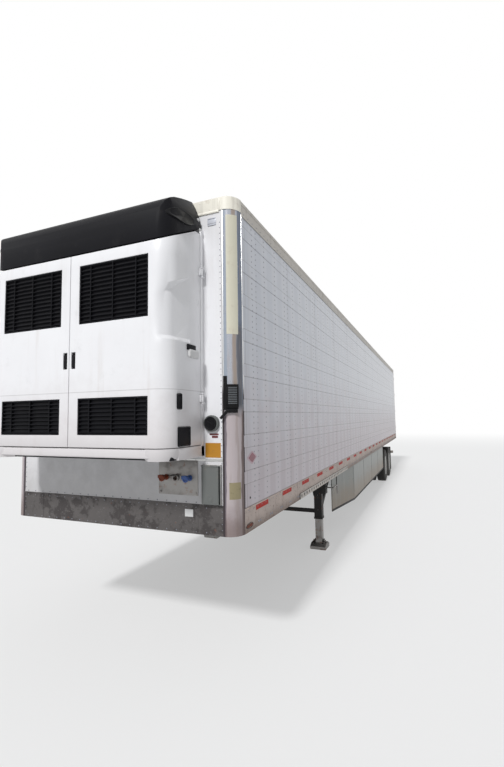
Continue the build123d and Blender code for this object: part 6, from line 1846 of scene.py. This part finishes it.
class TRAILER_OT_engine(bpy.types.Operator):
    """The cooling unit's engine, compressor, belt, filter, battery box and coils behind its doors."""

    bl_idname = "trailer.engine"
    bl_label = "Engine bay"

    def execute(self, context):
        low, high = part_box("unit_engine")
        back, front, base = high.y, low.y, low.z
        bm = bmesh.new()
        add_box(bm, (-0.16, front + 0.05, base + 0.08), (0.30, back, base + 0.42), 0.02, 3)
        add_box(bm, (-0.13, front + 0.09, base + 0.41), (0.27, back - 0.05, base + 0.55), 0.018, 3)
        add_box(bm, (-0.10, front + 0.12, base + 0.54), (0.24, back - 0.08, base + 0.60), 0.015, 3)
        add_box(bm, (-0.12, front + 0.07, base + 0.005), (0.26, back - 0.03, base + 0.09), 0.01)
        rib = add_box(bm, (-0.12, front + 0.042, base + 0.12), (-0.105, front + 0.054, base + 0.38), 0.002, 1)
        repeated(bm, rib, 9, (0.046, 0, 0))
        add_stud(bm, (0.30, front + 0.17, base + 0.26), (0.17, 0, 0), 0.105, 32, bevel=0.012)
        add_stud(bm, (-0.499, front + 0.16, base + 0.47), (0.279, 0, 0), 0.082, 32, bevel=0.01)
        piece("engine_castings", bm, "engine_block", replaces=["unit_engine"])
        bm = bmesh.new()
        for x, z, r in ((-0.19, 0.20, 0.088), (-0.19, 0.46, 0.05), (-0.19, 0.33, 0.036)):
            wheel = [
                (-0.018, 0.0), (-0.018, r), (-0.010, r), (-0.004, r * 0.86), (0.004, r * 0.86), (0.010, r),
                (0.018, r), (0.018, 0.0),
            ]
            add_turned(bm, wheel, (x, front + 0.13, base + z), (1, 0, 0), 32)
        for x in (-0.07, 0.02, 0.11, 0.20):
            add_stud(bm, (x, front + 0.14, base + 0.598), (0, 0, 0.032), 0.012, 6)
            add_stud(bm, (x, front + 0.05, base + 0.46), (0, 0.05, 0), 0.014, 16)
        piece("engine_steel", bm, "bare_steel")
        bm = bmesh.new()
        add_box(bm, (-0.49, front + 0.03, base + 0.005), (-0.24, back - 0.08, base + 0.21), 0.012)
        add_box(bm, (-0.50, front + 0.02, base + 0.19), (-0.23, back - 0.07, base + 0.225), 0.008)
        outline = [
            (-0.2, front + 0.12, base + 0.10), (-0.2, front + 0.22, base + 0.20), (-0.2, front + 0.18, base + 0.47),
            (-0.2, front + 0.08, base + 0.46), (-0.2, front + 0.035, base + 0.20),
        ]
        add_prism(bm, outline, (0.02, 0, 0), 0.004)
        piece("engine_black", bm, "black_plastic")
        bm = bmesh.new()
        coil = FRONT - 0.10
        add_box(bm, (-0.86, coil, 2.86), (0.86, FRONT - 0.012, 3.50), 0.004)
        fin = add_box(bm, (-0.852, coil - 0.004, 2.87), (-0.848, coil + 0.002, 3.49), 0.0008, 1)
        repeated(bm, fin, 100, (0.01717, 0, 0))
        piece("coil", bm, "rail_metal")
        return {"FINISHED"}


class TRAILER_OT_front_fittings(bpy.types.Operator):
    """The air couplings, the electric socket with its lid, the box's latch and its lid's stiffeners."""

    bl_idname = "trailer.front_fittings"
    bl_label = "Front fittings"

    def execute(self, context):
        low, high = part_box("connection_plate")
        x, z, face = (low.x + high.x) / 2, (low.z + high.z) / 2, FRONT - 0.006
        bm = bmesh.new()
        add_box(bm, (low.x, face, low.z), (high.x, FRONT, high.z), 0.0025)
        add_heads(bm, [(x + dx, face, z + dz) for dx in (-0.18, 0.18) for dz in (-0.13, 0.13)], (0, -1, 0), 0.009)
        socket = [
            (0.0, 0.027), (0.006, 0.034), (0.010, 0.027), (0.044, 0.027), (0.046, 0.025),
            (0.046, 0.0222), (0.0, 0.0222),
        ]
        add_turned(bm, socket, (x, face, z), (0, -1, 0), 36, closed=True)
        lid = add_turned(
            bm, [(0.047, 0.0), (0.047, 0.027), (0.0505, 0.029), (0.054, 0.026), (0.056, 0.0)], (x, face, z),
            (0, -1, 0), 36,
        )
        tilt(bm, lid, -80, "X", (x, face - 0.048, z + 0.029))
        add_stud(bm, (x - 0.016, face - 0.048, z + 0.030), (0.032, 0, 0), 0.004, 12)
        piece("socket_plate", bm, "bare_steel", replaces=["connection_plate"])
        for name, dx, material in (("service", 0.12, "blue_paint"), ("emergency", -0.12, "lamp_red")):
            bm = bmesh.new()
            spot = (x + dx, face, z)
            add_turned(
                bm, [(-0.002, 0.026), (0.008, 0.026), (0.010, 0.018), (0.05, 0.016), (0.062, 0.022), (0.062, 0.0)],
                spot, (0, -1, 0), 28,
            )
            add_turned(
                bm,
                [
                    (0.060, 0.0), (0.060, 0.027), (0.066, 0.0295), (0.078, 0.0295), (0.082, 0.025), (0.082, 0.018),
                    (0.078, 0.016), (0.078, 0.0),
                ], spot, (0, -1, 0), 32,
            )
            hook = [
                (spot[0] + px, face - 0.064, z + pz)
                for px, pz in (
                    (-0.0295, 0.0), (-0.0295, 0.026), (-0.012, 0.0295), (0.012, 0.0295), (0.0295, 0.018), (0.02, 0.0),
                )
            ]
            add_prism(bm, hook, (0, -0.026, 0), 0.002)
            piece(f"coupling_{name}", bm, material)
        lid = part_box("document_lid")
        bm = bmesh.new()
        face = lid[0].y + 0.006
        add_box(
            bm, (lid[0].x + 0.01, face - 0.0015, lid[0].z + 0.012),
            (lid[1].x - 0.01, face + 0.001, lid[1].z - 0.02), 0.0008, 1,
        )
        add_box(bm, (1.036, face - 0.004, lid[0].z + 0.02), (1.072, face, lid[0].z + 0.06), 0.0015)
        piece("lid_plate", bm, "grey_box", "document_lid")
        return {"FINISHED"}


# The studio.


class TRAILER_OT_stage(bpy.types.Operator):
    """A pale floor, soft plain light and the camera."""

    bl_idname = "trailer.stage"
    bl_label = "Studio"

    def execute(self, context):
        self.floor()
        self.light()
        self.camera()
        return {"FINISHED"}

    def floor(self):
        bm = bmesh.new()
        bmesh.ops.create_circle(bm, cap_ends=True, segments=96, radius=120.0)
        mesh = bpy.data.meshes.new("studio_floor")
        bm.to_mesh(mesh)
        bm.free()
        ground = bpy.data.objects.new("studio_floor", mesh)
        bpy.context.scene.collection.objects.link(ground)
        ground.location.z = -0.0005
        material = bpy.data.materials.new("studio_floor")
        material.use_nodes = True
        tree = material.node_tree
        tree.nodes.clear()
        away = add(tree, "VectorMath", {0: place(tree)}, operation="LENGTH").outputs["Value"]
        far = ramp(tree, away, 16.0, 46.0)
        matt = add(tree, "BsdfDiffuse", {"Color": (0.78, 0.78, 0.78, 1.0)})
        white = add(tree, "Emission", {"Color": (1, 1, 1, 1), "Strength": 1.0})
        path = add(tree, "LightPath")
        seen = maths(tree, "MAXIMUM", path.outputs["Is Camera Ray"], path.outputs["Is Glossy Ray"])
        near = maths(tree, "MULTIPLY_ADD", far, 0.55, 0.45)
        share = maths(tree, "MULTIPLY", near, seen)
        both = add(tree, "MixShader", {0: share, 1: matt.outputs[0], 2: white.outputs[0]})
        add(tree, "OutputMaterial", {"Surface": both.outputs[0]})
        mesh.materials.append(material)

    def light(self):
        scene = bpy.context.scene
        world = bpy.data.worlds.new("studio")
        world.use_nodes = True
        tree = world.node_tree
        tree.nodes.clear()
        path = add(tree, "LightPath")
        seen = maths(tree, "MAXIMUM", path.outputs["Is Camera Ray"], path.outputs["Is Glossy Ray"])
        seen = maths(tree, "MAXIMUM", seen, path.outputs["Is Transmission Ray"])
        plain = add(tree, "Background", {"Color": (0.96, 0.98, 1.0, 1.0), "Strength": 0.36})
        white = add(tree, "Background", {"Color": (1, 1, 1, 1), "Strength": 1.0})
        both = add(tree, "MixShader", {0: seen, 1: plain.outputs[0], 2: white.outputs[0]})
        add(tree, "OutputWorld", {"Surface": both.outputs[0]})
        scene.world = world
        lamp = bpy.data.lights.new("key", "SUN")
        lamp.energy, lamp.angle = 2.65, math.radians(7)
        key = bpy.data.objects.new("key", lamp)
        key.rotation_mode = "QUATERNION"
        key.rotation_quaternion = Vector((0.02, 0.74, -0.67)).to_track_quat("-Z", "Y")
        scene.collection.objects.link(key)

    def camera(self):
        scene = bpy.context.scene
        yaw, pitch, roll = (math.radians(angle) for angle in (22.879, 4.5, -0.8547))
        ahead = Vector((-math.sin(yaw) * math.cos(pitch), math.cos(yaw) * math.cos(pitch), math.sin(pitch)))
        right = ahead.cross(Vector((0, 0, 1))).normalized()
        up = right.cross(ahead)
        turned_right = math.cos(roll) * right + math.sin(roll) * up
        turned_up = -math.sin(roll) * right + math.cos(roll) * up
        data = bpy.data.cameras.new("camera")
        data.sensor_width, data.lens = 36.0, 20.012
        data.clip_start, data.clip_end = 0.05, 500.0
        eye = bpy.data.objects.new("camera", data)
        eye.matrix_world = Matrix((
            (turned_right.x, turned_up.x, -ahead.x, 2.797),
            (turned_right.y, turned_up.y, -ahead.y, -11.071),
            (turned_right.z, turned_up.z, -ahead.z, 2.157),
            (0.0, 0.0, 0.0, 1.0),
        ))
        scene.collection.objects.link(eye)
        scene.camera = eye
        scene.view_settings.view_transform = "Standard"


NODE_FINISHES = {
    "front_wall": "front_panel", "rear_door_left": "front_panel", "rear_door_right": "front_panel",
    "pierced_rails": "pierced_metal",
}


class TRAILER_OT_finishes(bpy.types.Operator):
    """Gives every CAD node its finish."""

    bl_idname = "trailer.finishes"
    bl_label = "Finishes"

    def execute(self, context):
        made = finishes()
        slots = {part["node"]: part["material_slot"] for part in frame["record"]["subparts"]}
        for name, node in frame["nodes"].items():
            node.data.materials.clear()
            node.data.materials.append(made[NODE_FINISHES.get(name, slots[name])])
        return {"FINISHED"}


OPERATORS = (
    TRAILER_OT_stage, TRAILER_OT_finishes, TRAILER_OT_side_rivets, TRAILER_OT_rails, TRAILER_OT_side_marks,
    TRAILER_OT_corners, TRAILER_OT_display, TRAILER_OT_front_panel, TRAILER_OT_cap, TRAILER_OT_unit_doors,
    TRAILER_OT_unit_case, TRAILER_OT_tyres, TRAILER_OT_wheels, TRAILER_OT_landing_gear, TRAILER_OT_skirt_trim,
    TRAILER_OT_tanks, TRAILER_OT_running_gear, TRAILER_OT_rear_doors, TRAILER_OT_rear_frame, TRAILER_OT_inside,
    TRAILER_OT_engine, TRAILER_OT_front_fittings,
)


class TRAILER_PT_panel(bpy.types.Panel):
    """The trailer's pieces and their sizes and colours."""

    bl_label = "Trailer"
    bl_idname = "TRAILER_PT_panel"
    bl_space_type = "VIEW_3D"
    bl_region_type = "UI"
    bl_category = "Trailer"

    def draw(self, context):
        for group in (context.scene.trailer_sizes, context.scene.trailer_colours):
            box = self.layout.box()
            for name in group.bl_rna.properties.keys():
                if name not in ("rna_type", "name"):
                    box.prop(group, name)
        for operator in OPERATORS:
            self.layout.operator(operator.bl_idname)


CLASSES = (TrailerSizes, TrailerColours, *OPERATORS, TRAILER_PT_panel)


def register():
    for cls in CLASSES:
        bpy.utils.register_class(cls)
    bpy.types.Scene.trailer_sizes = PointerProperty(type=TrailerSizes)
    bpy.types.Scene.trailer_colours = PointerProperty(type=TrailerColours)


def unregister():
    del bpy.types.Scene.trailer_colours
    del bpy.types.Scene.trailer_sizes
    for cls in reversed(CLASSES):
        bpy.utils.unregister_class(cls)


def main():
    register()
    for operator in OPERATORS:
        group, name = operator.bl_idname.split(".")
        getattr(getattr(bpy.ops, group), name)()


if __name__ == "__main__":
    main()
